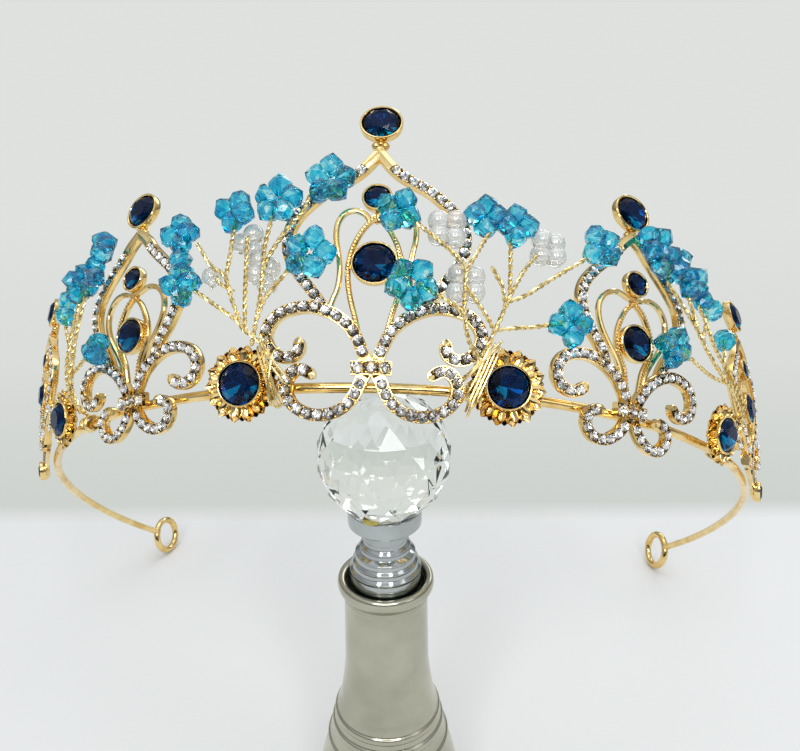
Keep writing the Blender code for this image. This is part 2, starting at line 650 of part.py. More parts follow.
def main():
    clear_scene()
    made = make_materials()
    gold = made[GOLD]
    band(gold)

    centre_extras = [
        (2.4, STRIP_FRONT, [(-3.2, 3.1), (0.0, 3.2), (3.2, 3.1)]),
        (1.5, STEM_FRONT, [(0.0, 46.5), (0.0, 41.0)]),
        (0.8, STEM_FRONT, [(0.0, 31.6), (0.0, 28.6)]),
        (0.9, STRIP_FRONT, [(-1.7, 43.3), (1.7, 43.3)]),
    ]
    panel("centre_panel", CENTRE_STRIPS, GEMS["centre"], CENTRE_ROW, centre_extras, gold)
    side_extras = [
        (2.6, STRIP_FRONT, [(-3.0, 0.8), (0.0, 0.9), (3.0, 0.8)]),
        (1.4, STEM_FRONT, [(0.0, 36.0), (0.0, 32.4)]),
        (0.9, STEM_FRONT, [(0.0, 22.6), (0.0, 20.2)]),
    ]
    end_extras = [
        (2.2, STRIP_FRONT, [(-2.2, 1.6), (0.0, 1.7), (2.2, 1.6)]),
        (1.3, STEM_FRONT, [(0.0, 29.6), (0.0, 25.4)]),
        (0.9, STEM_FRONT, [(0.0, 19.4), (0.0, 16.8)]),
        (2.8, STEM_FRONT, [(1.6, 1.6), (5.0, 0.6), (9.0, -0.2), (13.5, -0.9), (18.0, -1.2)]),
    ]
    for name, row in PANELS.items():
        side_panel = name.startswith("mid")
        strips = SIDE_STRIPS if side_panel else END_STRIPS
        kind = "side" if side_panel else "end"
        extras = side_extras if side_panel else end_extras
        if row[0] < 0:
            extras = [(width, front, mirrored(points)) for width, front, points in extras]
        panel(name, strips, GEMS[kind], row, extras, gold)

    placed = [("centre_panel", "centre", CENTRE_ROW)]
    placed += [(name, "side" if name.startswith("mid") else "end", row) for name, row in PANELS.items()]
    for panel_name, kind, row in placed:
        place = panel_placer(*row)
        short = panel_name.replace("_panel", "")
        side = -1.0 if row[0] < 0 else 1.0
        for gem_name, (along, up, radius) in GEMS[kind].items():
            gem(f"{short}_gem_{gem_name}", Vector((side * along, up, 0.0)), OUT, ACROSS, radius,
                BEZEL_FLOOR + GAP, 8, made[GEM], place)

    for name, (along, up, gem_radius, tip_radius) in ROSETTES.items():
        rosette(name, along, up, gem_radius, tip_radius, gold)
        here, right, _, front = surface_frame(along, up, 0.0)
        gem(f"{name}_gem", here, front, right, gem_radius, ROSETTE_OUT + 1.4 + GAP, 12, made[GEM])

    for name, (coils, branches) in WIRE_SPRAYS.items():
        wire_spray(name, coils, branches, gold)
    for name, rings in BEAD_CLUSTERS.items():
        weld(name, bead_shapes(rings, False), made[BEAD])
    for name, rings in PEARL_CLUSTERS.items():
        weld(name, bead_shapes(rings, True), made[PEARL])

    ball(made[CRYSTAL])
    stopper = [(radius, BALL_TOP - depth) for radius, depth in STOPPER_PROFILE]
    turned("stopper", stopper, 16, made[CHROME])
    post = [(radius, BALL_TOP - depth) for radius, depth in POST_PROFILE]
    post += POST_FOOT
    turned("post", post, 16, made[NICKEL])


main()
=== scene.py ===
"""Looks of the beaded tiara and its display stand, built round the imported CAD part.

The tiara is laid out on one curved surface: along runs round the band from its
middle, up climbs the panels, out stands off towards the viewer. Shapes are in
millimetres until they become a piece. +X is the viewer's right, +Y points back,
+Z is up, and the origin is the middle of the stand's underside.
"""
import math
import random

import bmesh
import bpy
import numpy as np
from mathutils import Matrix, Vector

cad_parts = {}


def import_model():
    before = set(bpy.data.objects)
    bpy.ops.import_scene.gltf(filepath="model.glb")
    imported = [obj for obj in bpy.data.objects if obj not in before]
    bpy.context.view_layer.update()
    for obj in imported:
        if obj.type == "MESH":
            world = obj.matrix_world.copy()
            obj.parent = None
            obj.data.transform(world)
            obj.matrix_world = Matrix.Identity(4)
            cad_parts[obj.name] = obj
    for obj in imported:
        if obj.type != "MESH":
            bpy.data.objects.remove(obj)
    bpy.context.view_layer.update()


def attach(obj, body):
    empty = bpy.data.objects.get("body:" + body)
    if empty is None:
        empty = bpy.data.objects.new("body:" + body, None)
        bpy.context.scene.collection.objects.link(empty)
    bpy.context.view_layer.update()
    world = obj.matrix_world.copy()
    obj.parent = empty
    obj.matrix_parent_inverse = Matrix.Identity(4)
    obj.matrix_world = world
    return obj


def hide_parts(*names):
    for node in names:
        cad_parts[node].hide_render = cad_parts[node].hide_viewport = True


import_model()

MM = 0.001
SEED = 7

# band curve seen along its own axis
BAND_HALF_WIDTH = 88.1
BAND_HALF_DEPTH = 97.8
BAND_SQUARENESS = 0.962
BAND_END = math.radians(111.0)
BAND_SAMPLES = 600

# lean of the surface
LEAN_AT_BAND = math.radians(17.0)
LEAN_AT_TOP = math.radians(-1.0)
LEAN_HEIGHT = 50.0
LEAN_RATE = (LEAN_AT_TOP - LEAN_AT_BAND) / LEAN_HEIGHT

# pose on the stand
TILT = math.radians(44.85)
TIARA_SIDE = -1.6
ROD_RADIUS = 1.0
LOOP_RADIUS = 4.9
LOOP_WIRE = 1.15

# layers that stand off the surface
STRIP_BACK = 1.4
STRIP_FRONT = 2.9
BEZEL_BACK = 1.2
BEZEL_FLOOR = 2.0
BEZEL_RIM = 3.3
PEARL_RADIUS = 1.9

# stand
BALL_RADIUS = 12.2
BALL_BEHIND_ROD = 2.4
BALL_DROP = 14.0
BALL_SIDES = 14
BALL_ROWS = 9

# strips of the middle panel, right half: width, points (along, up)
CENTRE_STRIPS = {
    "upper_scroll": (2.1, [
        (0.6, 3.4), (1.8, 6.6), (3.0, 9.1), (4.6, 10.9), (7.0, 12.5), (10.0, 13.5), (12.8, 13.4),
        (15.2, 12.6), (16.9, 11.0), (17.6, 8.9), (16.9, 6.6), (15.1, 5.2), (13.2, 5.1), (12.0, 6.2),
        (11.9, 8.4),
    ]),
    "lower_scroll": (2.1, [
        (0.6, 2.8), (1.7, 0.8), (2.6, -1.3), (4.0, -3.1), (6.1, -4.3), (8.5, -4.7), (11.0, -4.2),
        (13.2, -2.7), (14.2, -0.4), (13.8, 1.6), (12.4, 2.9), (10.8, 2.7), (9.3, 1.5),
    ]),
    "arch": (1.9, [
        (-0.4, 42.8), (1.7, 39.8), (3.4, 37.9), (5.6, 36.3), (7.9, 34.9), (10.1, 33.1), (12.2, 31.0),
        (13.7, 28.6), (14.3, 26.0), (14.1, 23.3), (13.1, 20.7), (11.5, 18.3), (10.0, 16.3), (8.6, 14.3),
        (7.9, 13.0),
    ]),
    "teardrop": (0.9, [
        (-0.5, 29.9), (1.2, 28.5), (2.6, 26.4), (3.8, 23.4), (4.3, 20.4), (4.2, 17.6), (3.7, 14.6),
        (3.0, 12.0), (2.4, 9.4),
    ]),
    "outer_strand": (0.9, [
        (0.9, 28.5), (1.9, 30.1), (3.6, 30.9), (5.3, 30.3), (6.3, 28.3), (6.4, 25.6), (5.9, 22.6),
        (5.6, 19.6), (5.9, 16.8), (6.6, 14.8), (7.2, 13.0),
    ]),
}

# strips of a side panel, one half: points (along from the panel's middle, up)
SIDE_STRIPS = {
    "upper_scroll": (2.1, [
        (0.5, 1.2), (2.2, 4.3), (3.9, 6.4), (6.3, 8.1), (9.0, 9.0), (11.6, 8.9), (13.8, 8.0),
        (15.0, 6.2), (15.1, 4.3), (14.1, 2.9), (12.3, 2.3), (10.6, 2.8), (9.5, 4.2),
    ]),
    "lower_scroll": (2.0, [
        (0.4, 0.4), (1.2, -1.6), (2.7, -3.5), (5.1, -4.8), (7.6, -4.6), (9.1, -2.9), (8.9, -1.0),
        (7.4, 0.0), (5.7, 0.2),
    ]),
    "arch": (1.9, [
        (-0.3, 33.2), (1.9, 31.2), (3.8, 28.8), (6.0, 26.5), (8.3, 24.2), (10.1, 21.6), (10.7, 18.9),
        (10.2, 16.2), (8.9, 13.6), (7.4, 11.4), (6.3, 9.4), (5.8, 7.8),
    ]),
    "heart_loop": (0.9, [
        (-0.5, 20.9), (1.4, 21.1), (3.3, 21.7), (5.4, 21.1), (6.9, 19.3), (7.3, 17.0), (6.7, 14.5),
        (5.4, 12.2), (3.9, 10.0), (2.8, 7.8), (2.4, 5.4),
    ]),
    "teardrop": (0.8, [
        (-0.6, 20.7), (1.5, 19.0), (2.9, 16.6), (3.7, 14.0), (3.6, 11.6), (2.7, 9.6), (1.9, 7.6),
        (1.4, 4.6),
    ]),
}

# strips of an end panel, one half
END_STRIPS = {
    "upper_scroll": (1.9, [
        (0.4, 1.6), (1.8, 4.2), (3.4, 6.0), (5.8, 7.3), (8.2, 7.2), (9.8, 5.6), (9.4, 3.7), (7.8, 3.0),
        (6.6, 4.1),
    ]),
    "arch": (1.8, [
        (-0.3, 26.0), (1.8, 24.2), (3.6, 21.6), (5.8, 19.2), (7.4, 16.4), (7.5, 13.4), (6.3, 10.6),
        (5.2, 8.4), (4.8, 6.9),
    ]),
    "teardrop": (0.9, [
        (-0.6, 17.7), (2.1, 16.8), (3.4, 15.0), (3.5, 12.4), (3.2, 9.6), (2.2, 7.2), (1.6, 4.2),
    ]),
}

PANELS = {
    # name: (kind, middle along, lean of the middle, lift at the band, lift per mm of height)
    "centre_panel": ("centre", 0.0, 0.0, 0.0, 0.0),
    "mid_panel_left": ("side", -46.0, 0.055, 0.0, 0.0),
    "mid_panel_right": ("side", 46.2, -0.07, 0.0, 0.0),
    "end_panel_left": ("end", -88.5, 0.12, 0.5, -0.06),
    "end_panel_right": ("end", 90.0, -0.30, 0.5, -0.12),
}

KINDS = {
    # kind: (strips, knot stones (along, up, radius), width of the knot bar, stem from up to up, stem width)
    "centre": (CENTRE_STRIPS, [(-2.2, 3.1, 1.1), (0.0, 3.2, 1.15), (2.2, 3.1, 1.1)], 2.4,
               [(46.5, 41.0, 1.5), (31.6, 28.6, 0.8)]),
    "side": (SIDE_STRIPS, [(-2.2, 0.8, 1.1), (0.0, 0.9, 1.15), (2.2, 0.8, 1.1)], 2.6,
             [(36.0, 32.4, 1.4), (22.6, 20.2, 0.9)]),
    "end": (END_STRIPS, [(-1.6, 1.6, 1.0), (0.3, 1.7, 1.0)], 2.2,
            [(29.6, 25.4, 1.3), (19.4, 16.8, 0.9)]),
}

# the plate that tapers off along the rod at the far side of an end panel
TIP_PLATE = [(1.6, 1.6), (5.0, 0.6), (9.0, -0.2), (13.5, -0.9), (18.0, -1.2)]
TIP_PLATE_WIDTH = 2.8

FINISH = {
    # strip: (plain length at its start, length to the first stone if paved, beaded, round tip)
    "upper_scroll": (0.0, 2.6, False, True),
    "lower_scroll": (0.0, 2.6, False, True),
    "arch": (4.6, 5.5, False, False),
    "teardrop": (0.0, None, True, False),
    "outer_strand": (0.0, None, False, False),
    "heart_loop": (0.0, None, False, False),
}

GEMS = {
    # panel kind: name: (along, up, radius)
    "centre": {"finial": (0.0, 48.3, 3.2), "small": (0.0, 33.0, 2.1), "large": (0.0, 20.9, 3.4)},
    "side": {"finial": (0.0, 37.6, 3.1), "small": (0.0, 23.8, 2.0), "large": (0.0, 12.9, 3.0)},
    "end": {"finial": (0.0, 31.2, 2.7), "small": (0.0, 20.2, 1.7), "large": (0.0, 12.4, 2.7),
            "low": (12.0, -1.4, 1.7)},
}

ROSETTES = {
    # name: (along, up, gem radius, petal tip radius)
    "rosette_left": (-21.6, 0.9, 3.6, 5.8),
    "rosette_right": (22.1, 1.2, 3.5, 5.8),
    "rosette_far_left": (-69.0, 2.2, 3.3, 5.2),
    "rosette_far_right": (71.3, 2.6, 3.3, 5.2),
}
ROSETTE_PETALS = 14
ROSETTE_OUT = 2.4
PETAL_GROWTH = 0.8
PETAL_ROWS = 8
PETAL_COLUMNS = 7
PETAL_WIDEST = 0.5
PETAL_RISE = 0.95
PETAL_THICKNESS = 0.2
PETAL_LAYERS = [
    # (turn in petals, drop behind the front layer, share of the full length)
    (0.0, 0.0, 1.0), (0.5, -0.3, 0.9),
]
ROSETTE_CUP = [
    # (beyond the gem's radius, in front of ROSETTE_OUT)
    (0.2, 0.3), (0.32, 0.6), (0.36, 1.9), (0.33, 2.18), (0.24, 2.28), (0.12, 2.27), (0.02, 2.2),
    (0.05, 1.8), (0.06, 1.2),
]

BEAD_CLUSTERS = {
    # name: rings of beads, each (along, up, out, ring radius, beads in the ring, turn in degrees)
    "beads_left_a": [(-22.5, 30.8, 5.2, 1.9, 4, 250)],
    "beads_left_b": [(-15.4, 32.1, 5.2, 2.5, 5, 225)],
    "beads_left_c": [(-7.3, 35.2, 5.2, 2.6, 5, 230)],
    "beads_left_d": [(-9.9, 22.0, 5.2, 2.7, 5, 218)],
    "beads_left_e": [
        (-32.4, 28.4, 5.2, 1.9, 4, 270), (-32.2, 23.8, 5.2, 0.0, 1, 0), (-31.8, 19.2, 5.2, 2.1, 4, 90),
    ],
    "beads_right_i": [(3.6, 28.8, 6.4, 2.1, 4, 330)],
    "beads_right_j": [(6.0, 16.4, 6.6, 2.6, 5, 340)],
    "beads_right_k": [(16.9, 29.4, 5.2, 1.9, 4, 270), (21.6, 28.4, 5.2, 1.9, 4, 270)],
    "beads_right_l": [(35.9, 27.6, 5.2, 2.0, 4, 225)],
    "beads_right_m": [(31.2, 12.9, 5.2, 2.1, 4, 190)],
    "beads_far_left_a": [
        (-50.9, 31.7, 5.2, 1.4, 3, 243), (-54.0, 26.6, 5.2, 2.1, 4, 63), (-56.9, 25.6, 6.0, 1.7, 3, 20),
    ],
    "beads_far_left_b": [(-62.2, 22.6, 5.2, 1.6, 2, 90)],
    "beads_far_left_c": [(-52.0, 11.5, 5.2, 1.4, 3, 180)],
    "beads_far_right_a": [(46.6, 31.4, 5.2, 1.9, 4, 320), (49.6, 28.2, 5.2, 1.7, 3, 325)],
    "beads_far_right_b": [
        (52.0, 29.6, 5.2, 1.2, 2, 60), (55.3, 26.8, 5.2, 1.7, 4, 325), (59.3, 23.9, 5.2, 1.2, 2, 145),
    ],
    "beads_far_right_c": [(51.6, 13.6, 5.2, 2.0, 4, 350)],
    "beads_far_right_d": [(65.2, 19.2, 5.2, 0.0, 1, 300)],
}

PEARL_CLUSTERS = {
    # name: rings of pearls, each (along, up, out, ring radius, pearls in the ring, turn in degrees)
    "pearls_left_a": [
        (-21.6, 26.6, 1.2, 1.6, 3, 296), (-19.2, 21.6, 1.2, 1.6, 3, 116), (-18.2, 18.4, 1.2, 0.0, 1, 0),
    ],
    "pearls_left_b": [(-28.6, 21.2, 1.2, 0.0, 1, 0)],
    "pearls_right_n": [(11.0, 26.6, 5.0, 2.0, 4, 315)],
    "pearls_right_o": [(14.2, 17.3, 5.0, 2.0, 4, 45)],
    "pearls_right_p": [(28.4, 27.0, 1.2, 2.0, 4, 225)],
}

WIRE_SPRAYS = {
    # name: (coils round the rod, branches as points (along, up, out))
    "wire_spray_left": ([-16.2, -17.5, -18.8], [
        [(-15.9, 1.7, 0.4), (-15.2, 3.3, 4.0), (-17.2, 6.9, 4.6), (-20.4, 9.7, 4.5), (-22.1, 11.7, 4.4),
         (-25.9, 14.8, 4.4), (-27.6, 16.2, 4.6)],
        [(-20.6, 9.5, 4.4), (-22.8, 15.3, 4.4), (-24.2, 19.7, 4.4), (-26.6, 21.6, 4.4), (-28.3, 24.4, 4.4)],
        [(-24.0, 19.2, 4.4), (-23.3, 23.0, 4.6), (-22.6, 27.0, 5.1)],
        [(-22.6, 16.7, 4.4), (-25.6, 18.9, 3.4), (-26.8, 20.1, 2.2)],
        [(-20.4, 9.3, 4.4), (-20.6, 16.0, 4.2), (-20.6, 20.4, 4.1), (-20.6, 24.0, 4.1)],
        [(-19.3, 7.0, 4.4), (-18.4, 12.0, 4.4), (-17.7, 17.3, 4.4), (-17.5, 23.6, 4.4), (-16.4, 28.4, 5.0)],
        [(-17.8, 19.0, 4.4), (-16.6, 22.4, 4.4), (-13.9, 26.8, 4.6), (-11.3, 29.8, 4.8),
         (-10.8, 31.0, 5.0)],
        [(-18.6, 11.0, 4.4), (-17.3, 14.5, 4.4), (-15.8, 16.6, 4.4), (-14.4, 18.0, 4.8)],
    ]),
    "wire_spray_right": ([16.6, 17.9, 19.2], [
        [(17.3, 1.6, 0.4), (16.4, 3.4, 3.9), (17.6, 6.2, 4.5), (18.6, 8.6, 4.4), (19.9, 12.1, 4.4),
         (21.3, 16.2, 4.4), (23.4, 21.0, 4.0), (25.9, 24.7, 2.4)],
        [(20.9, 15.2, 4.4), (24.0, 16.9, 4.4), (27.8, 20.2, 4.4), (31.6, 23.4, 4.8)],
        [(21.2, 15.6, 4.4), (21.1, 20.0, 4.6), (20.9, 23.6, 5.0)],
        [(20.6, 14.2, 4.6), (19.6, 17.0, 6.2), (18.8, 18.0, 6.8)],
        [(19.2, 10.2, 4.4), (22.0, 10.9, 4.4), (25.0, 11.5, 4.4), (27.6, 12.2, 5.0)],
        [(17.6, 4.6, 4.2), (15.4, 7.0, 5.6), (14.1, 10.0, 7.4), (13.7, 14.0, 7.8), (13.6, 18.8, 7.9),
         (11.4, 21.6, 8.0), (9.4, 23.6, 7.6), (6.4, 26.6, 6.7)],
        [(13.7, 18.4, 7.9), (15.2, 21.6, 7.6), (16.4, 24.2, 6.6)],
        [(14.0, 11.0, 7.6), (12.6, 12.8, 7.6), (9.7, 14.7, 6.9)],
        [(13.8, 16.0, 7.9), (16.8, 12.6, 6.6), (19.2, 10.0, 4.6)],
    ]),
    "wire_spray_far_left": ([-63.8, -65.2], [
        [(-64.4, 1.5, 0.4), (-63.2, 3.4, 2.8), (-62.6, 7.0, 4.2), (-61.4, 11.4, 4.4), (-60.2, 16.0, 4.4),
         (-58.0, 20.6, 4.6), (-57.0, 22.2, 5.0)],
        [(-61.9, 9.4, 4.3), (-58.8, 10.3, 4.4), (-56.0, 11.0, 4.8)],
        [(-60.9, 13.2, 4.4), (-62.3, 15.6, 4.6), (-62.4, 18.6, 5.2)],
        [(-65.3, 2.6, 1.6), (-63.9, 4.6, 3.7), (-63.4, 8.6, 4.7), (-62.4, 13.0, 4.9), (-59.6, 19.6, 4.9),
         (-57.6, 22.6, 5.2)],
        [(-64.6, 4.2, 3.4), (-62.0, 7.6, 5.0), (-60.4, 12.0, 5.1), (-58.4, 17.4, 5.0), (-55.6, 22.6, 5.2)],
    ]),
    "wire_spray_far_right": ([76.0, 77.3], [
        [(77.0, 1.6, 0.4), (77.0, 4.6, 3.4), (75.4, 8.6, 4.4), (71.3, 11.6, 4.4), (66.6, 12.8, 4.4),
         (61.9, 15.4, 4.4), (59.9, 17.6, 4.4), (59.7, 19.6, 4.8)],
        [(70.3, 11.8, 4.4), (67.3, 14.2, 4.4), (65.6, 17.0, 5.1)],
        [(69.9, 11.9, 4.4), (62.7, 11.6, 4.4), (55.0, 13.2, 5.0)],
        [(60.1, 17.2, 4.4), (55.0, 21.4, 4.4), (50.6, 25.0, 4.5), (49.2, 27.9, 4.9)],
        [(77.6, 3.0, 1.8), (77.4, 5.8, 3.9), (74.6, 9.6, 4.9), (69.4, 13.0, 5.0), (63.4, 16.4, 4.9),
         (58.8, 21.6, 5.0)],
        [(76.6, 4.0, 3.6), (74.4, 7.4, 4.9), (68.6, 11.0, 5.1), (63.2, 13.8, 5.0), (58.6, 17.4, 4.9),
         (55.4, 22.6, 5.0)],
    ]),
}

# turned profiles: (radius, depth below the ball's top)
STOPPER_PROFILE = [
    (0.0, 24.75), (3.8, 24.4), (5.4, 23.6), (6.6, 22.8), (6.75, 22.7), (6.9, 22.85), (6.9, 25.85),
    (6.5, 26.25), (4.2, 26.65), (4.0, 28.4), (4.3, 29.8), (5.4, 31.9), (5.6, 32.0), (6.25, 34.1),
    (6.45, 34.2), (7.1, 37.0), (7.15, 39.2), (0.0, 39.2),
]
POST_PROFILE = [
    (0.0, 39.5), (7.5, 39.5), (7.6, 38.4), (8.0, 37.9), (8.6, 37.8), (9.1, 38.2), (9.25, 39.1), (9.1, 40.0),
    (8.4, 40.9), (8.0, 41.4), (8.25, 42.0), (8.0, 42.8), (8.1, 47.8), (8.3, 57.8), (8.8, 62.3), (9.5, 66.6),
    (10.2, 68.4), (10.25, 69.1), (10.75, 69.4), (10.85, 70.4), (10.6, 70.7), (10.9, 71.9), (11.4, 72.2),
    (11.5, 73.2), (11.25, 73.5), (12.0, 76.0), (12.5, 76.3), (12.6, 77.2), (12.35, 77.5), (13.6, 81.8),
]
POST_FOOT = [
    # (radius, height over the table)
    (16.4, 8.0), (18.0, 4.0), (18.0, 1.0), (17.4, 0.0), (0.0, 0.0),
]

# strips, stones and grains as they are drawn
PATH_STEP = 0.45
TIP_LENGTH = 1.5
TROUGH_DEPTH = 0.55
STRAND_INSET = 0.25
STEM_OUT = 1.7
STONE_PITCH = 1.86
STONE_SHARE = 0.475
GRAIN_PITCH = 0.62
GRAIN_RADIUS = 0.3
PRONG_RADIUS = 0.2
PAVED_SLOTS = (1, 2)

# wires and beads as they are drawn
ROD_FINENESS = 0.93
LOOP_FINENESS = 0.90
STRAND_RADIUS = 0.23
STRAND_OFFSET = 0.21
TWIST_PITCH = 2.6
WRAP_RADIUS = 0.22
COIL_RADIUS = 1.5
COIL_PITCH = 0.44
COIL_WIRE = 0.2
THREAD_RADIUS = 0.14
THREAD_END = 1.55
CUT_BEAD_RADIUS = 2.2
LOWEST_TIP = 10.5
INTO_BEADS = 2.4

# spot of glue: x, y, and height from the ball's top
GLUE_PLACE = (-1.6, -7.4, -21.3)

WRAPS = {
    # spray: fine strands wound over the edge of a rosette, as points (along, up, out)
    "wire_spray_left": [
        [(-18.3, 7.9, 2.6), (-17.7, 6.7, 4.4), (-16.6, 2.2, 4.6), (-15.4, -2.3, 4.0), (-15.1, -3.1, 2.2)],
        [(-17.8, 8.2, 2.6), (-17.2, 6.9, 4.5), (-16.1, 2.4, 4.7), (-14.9, -2.0, 4.1), (-14.6, -2.9, 2.2)],
        [(-18.9, 7.2, 2.6), (-18.2, 6.1, 4.4), (-17.0, 1.8, 4.6), (-15.9, -2.6, 4.0), (-15.6, -3.3, 2.2)],
        [(-18.4, 6.6, 2.6), (-17.3, 6.0, 4.5), (-15.5, 4.2, 4.7), (-13.7, 1.9, 4.0), (-13.2, 1.2, 2.2)],
        [(-18.6, 5.8, 2.6), (-17.6, 5.2, 4.4), (-15.8, 3.3, 4.6), (-14.1, 0.9, 4.0), (-13.7, 0.3, 2.2)],
        [(-15.2, 6.6, 2.6), (-15.6, 5.6, 4.4), (-16.2, 1.6, 4.8), (-16.6, -2.2, 4.0), (-16.7, -2.9, 2.2)],
    ],
    "wire_spray_right": [
        [(20.2, 8.2, 2.6), (19.5, 7.0, 4.4), (17.9, 2.6, 4.8), (16.4, -1.4, 5.0), (15.6, -4.3, 4.8)],
        [(19.8, 8.4, 2.6), (19.0, 7.2, 4.5), (17.4, 2.8, 4.9), (15.9, -1.2, 5.0), (15.3, -3.4, 4.6)],
        [(20.6, 7.8, 2.6), (20.0, 6.6, 4.4), (18.4, 2.3, 4.8), (16.9, -1.6, 4.8), (16.1, -3.2, 3.4)],
        [(19.3, 8.8, 2.6), (18.5, 7.6, 4.5), (16.9, 3.1, 4.9), (15.3, -0.9, 4.6), (14.8, -1.9, 2.8)],
        [(20.9, 8.9, 2.6), (20.0, 8.1, 4.4), (17.8, 5.6, 4.8), (15.6, 3.0, 4.4), (14.9, 2.3, 2.4)],
        [(20.6, 8.0, 2.6), (19.6, 7.2, 4.5), (17.4, 4.7, 4.9), (15.2, 2.1, 4.5), (14.6, 1.4, 2.4)],
        [(16.2, 7.4, 2.6), (16.6, 6.2, 4.4), (17.2, 2.0, 4.8), (17.7, -2.0, 4.2), (17.8, -2.8, 2.4)],
    ],
}

# camera: place in millimetres from the middle of the front of the rod, then angles in degrees
CAMERA_FROM_ROD = Vector((13.09, -124.07, 53.91))
CAMERA_PITCH = 22.5
CAMERA_YAW = 3.83
CAMERA_ROLL = -0.42
CAMERA_LENS = 36.0
CAMERA_SENSOR = 36.0

# surroundings, in metres
FLOOR_REACH = 6.0
TABLE_COLOUR = (0.81, 0.825, 0.82, 1.0)
TABLE_EDGE = 0.118
TABLE_BLUR = 0.012
# the wall beyond the table's edge is painted light: it glows as an emission, from WALL_LOW near the edge to
# WALL_HIGH far back
WALL_NEAR = 0.13
WALL_FAR = 0.60
WALL_LOW = (0.62, 0.65, 0.62)
WALL_MIDDLE = (0.70, 0.72, 0.69)
WALL_HIGH = (0.735, 0.755, 0.735)
ROOM_BY_HEIGHT = [
    # (share of the height, colour)
    (0.0, (0.22, 0.22, 0.22)), (0.25, (0.20, 0.20, 0.21)), (0.42, (0.50, 0.51, 0.52)),
    (0.60, (0.40, 0.41, 0.42)), (0.80, (0.72, 0.73, 0.75)), (1.0, (0.95, 0.96, 0.98)),
]
LIGHTS = {
    # name: (place, size, power in watts, height aimed at)
    "lamp_left": ((-0.22, -0.60, 0.78), (0.10, 0.42), 1.2, 0.10),
    "lamp_right": ((0.28, -0.60, 0.78), (0.10, 0.42), 1.2, 0.10),
    "lamp_low": ((0.03, -0.74, 0.60), (0.50, 0.10), 1.3, 0.10),
    "fill": ((0.70, -0.35, 0.55), (0.25, 0.40), 0.35, 0.10),
    "top": ((0.0, 0.15, 0.95), (0.70, 0.35), 0.85, 0.08),
    "back": ((0.30, 0.75, 0.45), (0.60, 0.15), 0.9, 0.10),
}

UPWARD = np.array([0.0, 0.0, 1.0])
SIDEWAYS = np.array([1.0, 0.0, 0.0])


# the band's curve and the surface over it

def power_wave(value, exponent):
    return np.sign(value) * np.abs(value) ** exponent


def sample_band():
    """Lengths from the middle, places and outward directions round the right half of the band."""
    angle = np.linspace(0.0, BAND_END, BAND_SAMPLES + 1)
    x = BAND_HALF_WIDTH * power_wave(np.sin(angle), BAND_SQUARENESS)
    y = BAND_HALF_DEPTH * (1.0 - power_wave(np.cos(angle), BAND_SQUARENESS))
    lengths = np.concatenate([[0.0], np.cumsum(np.hypot(np.diff(x), np.diff(y)))])
    dx, dy = np.gradient(x), np.gradient(y)
    dy[0] = 0.0
    size = np.hypot(dx, dy)
    return lengths, x, y, dy / size, -dx / size


LENGTHS, BAND_X, BAND_Y, NORMAL_X, NORMAL_Y = sample_band()
BAND_LENGTH = LENGTHS[-1]


def posed(x, y, z):
    """Points tilted back as the tiara leans on the stand."""
    turn, tip = math.cos(TILT), math.sin(TILT)
    return np.stack([x, y * turn + z * tip, -y * tip + z * turn], axis=1)


def pose_height():
    """Height of the rod's middle over the table when the end loops touch the table."""
    tangent_y = NORMAL_X[-1]
    centre_y = BAND_Y[-1] + tangent_y * LOOP_RADIUS
    drop = math.hypot(tangent_y * math.sin(TILT), math.cos(TILT))
    return centre_y * math.sin(TILT) + LOOP_RADIUS * drop + LOOP_WIRE


ROD_HEIGHT = pose_height()
BALL_CENTRE_HEIGHT = ROD_HEIGHT - BALL_DROP
BALL_TOP = BALL_CENTRE_HEIGHT + BALL_RADIUS
ROD_MIDDLE = np.array([TIARA_SIDE, -BALL_BEHIND_ROD, ROD_HEIGHT])


def on_curve(along, across, away):
    """Values read off the right half of the band's curve, those across it turned round on the left."""
    reach = np.abs(along)
    side = np.where(along < 0, -1.0, 1.0)
    return side * np.interp(reach, LENGTHS, across), np.interp(reach, LENGTHS, away)


def surface(flat):
    """World points, in millimetres, for rows of (along, up, out)."""
    along, up, out = np.atleast_2d(np.asarray(flat, float)).T
    x, y = on_curve(along, BAND_X, BAND_Y)
    normal_x, normal_y = on_curve(along, NORMAL_X, NORMAL_Y)
    lean = LEAN_AT_BAND + LEAN_RATE * up
    away = (math.cos(LEAN_AT_BAND) - np.cos(lean)) / LEAN_RATE + out * np.cos(lean)
    height = (np.sin(lean) - math.sin(LEAN_AT_BAND)) / LEAN_RATE - out * np.sin(lean)
    return posed(x + normal_x * away, y + normal_y * away, height) + ROD_MIDDLE


def unit(vector):
    return vector / np.linalg.norm(vector)


def steps_round(count, turn=0.0):
    """Angles at even steps round a circle."""
    return [turn + 2 * math.pi * index / count for index in range(count)]


def surface_frame(along, up, out):
    """World point with the directions along, up and out."""
    here, left, right, front = surface([
        (along, up, out), (along - 0.5, up, out), (along + 0.5, up, out), (along, up, out + 1.0)])
    right = unit(right - left)
    front = unit(front - here)
    return here, right, unit(np.cross(front, right)), front


def panel_placer(middle, lean, lift, lift_rate):
    """Placing function for a panel whose middle line leans along the band."""
    def place(flat):
        along, up, out = flat[:, 0], flat[:, 1], flat[:, 2]
        return surface(np.stack([middle + lean * up + along, up, out + lift + lift_rate * up], axis=1))

    return place


# curves

def lengths_along(path):
    return np.concatenate([[0.0], np.cumsum(np.linalg.norm(np.diff(path, axis=0), axis=1))])


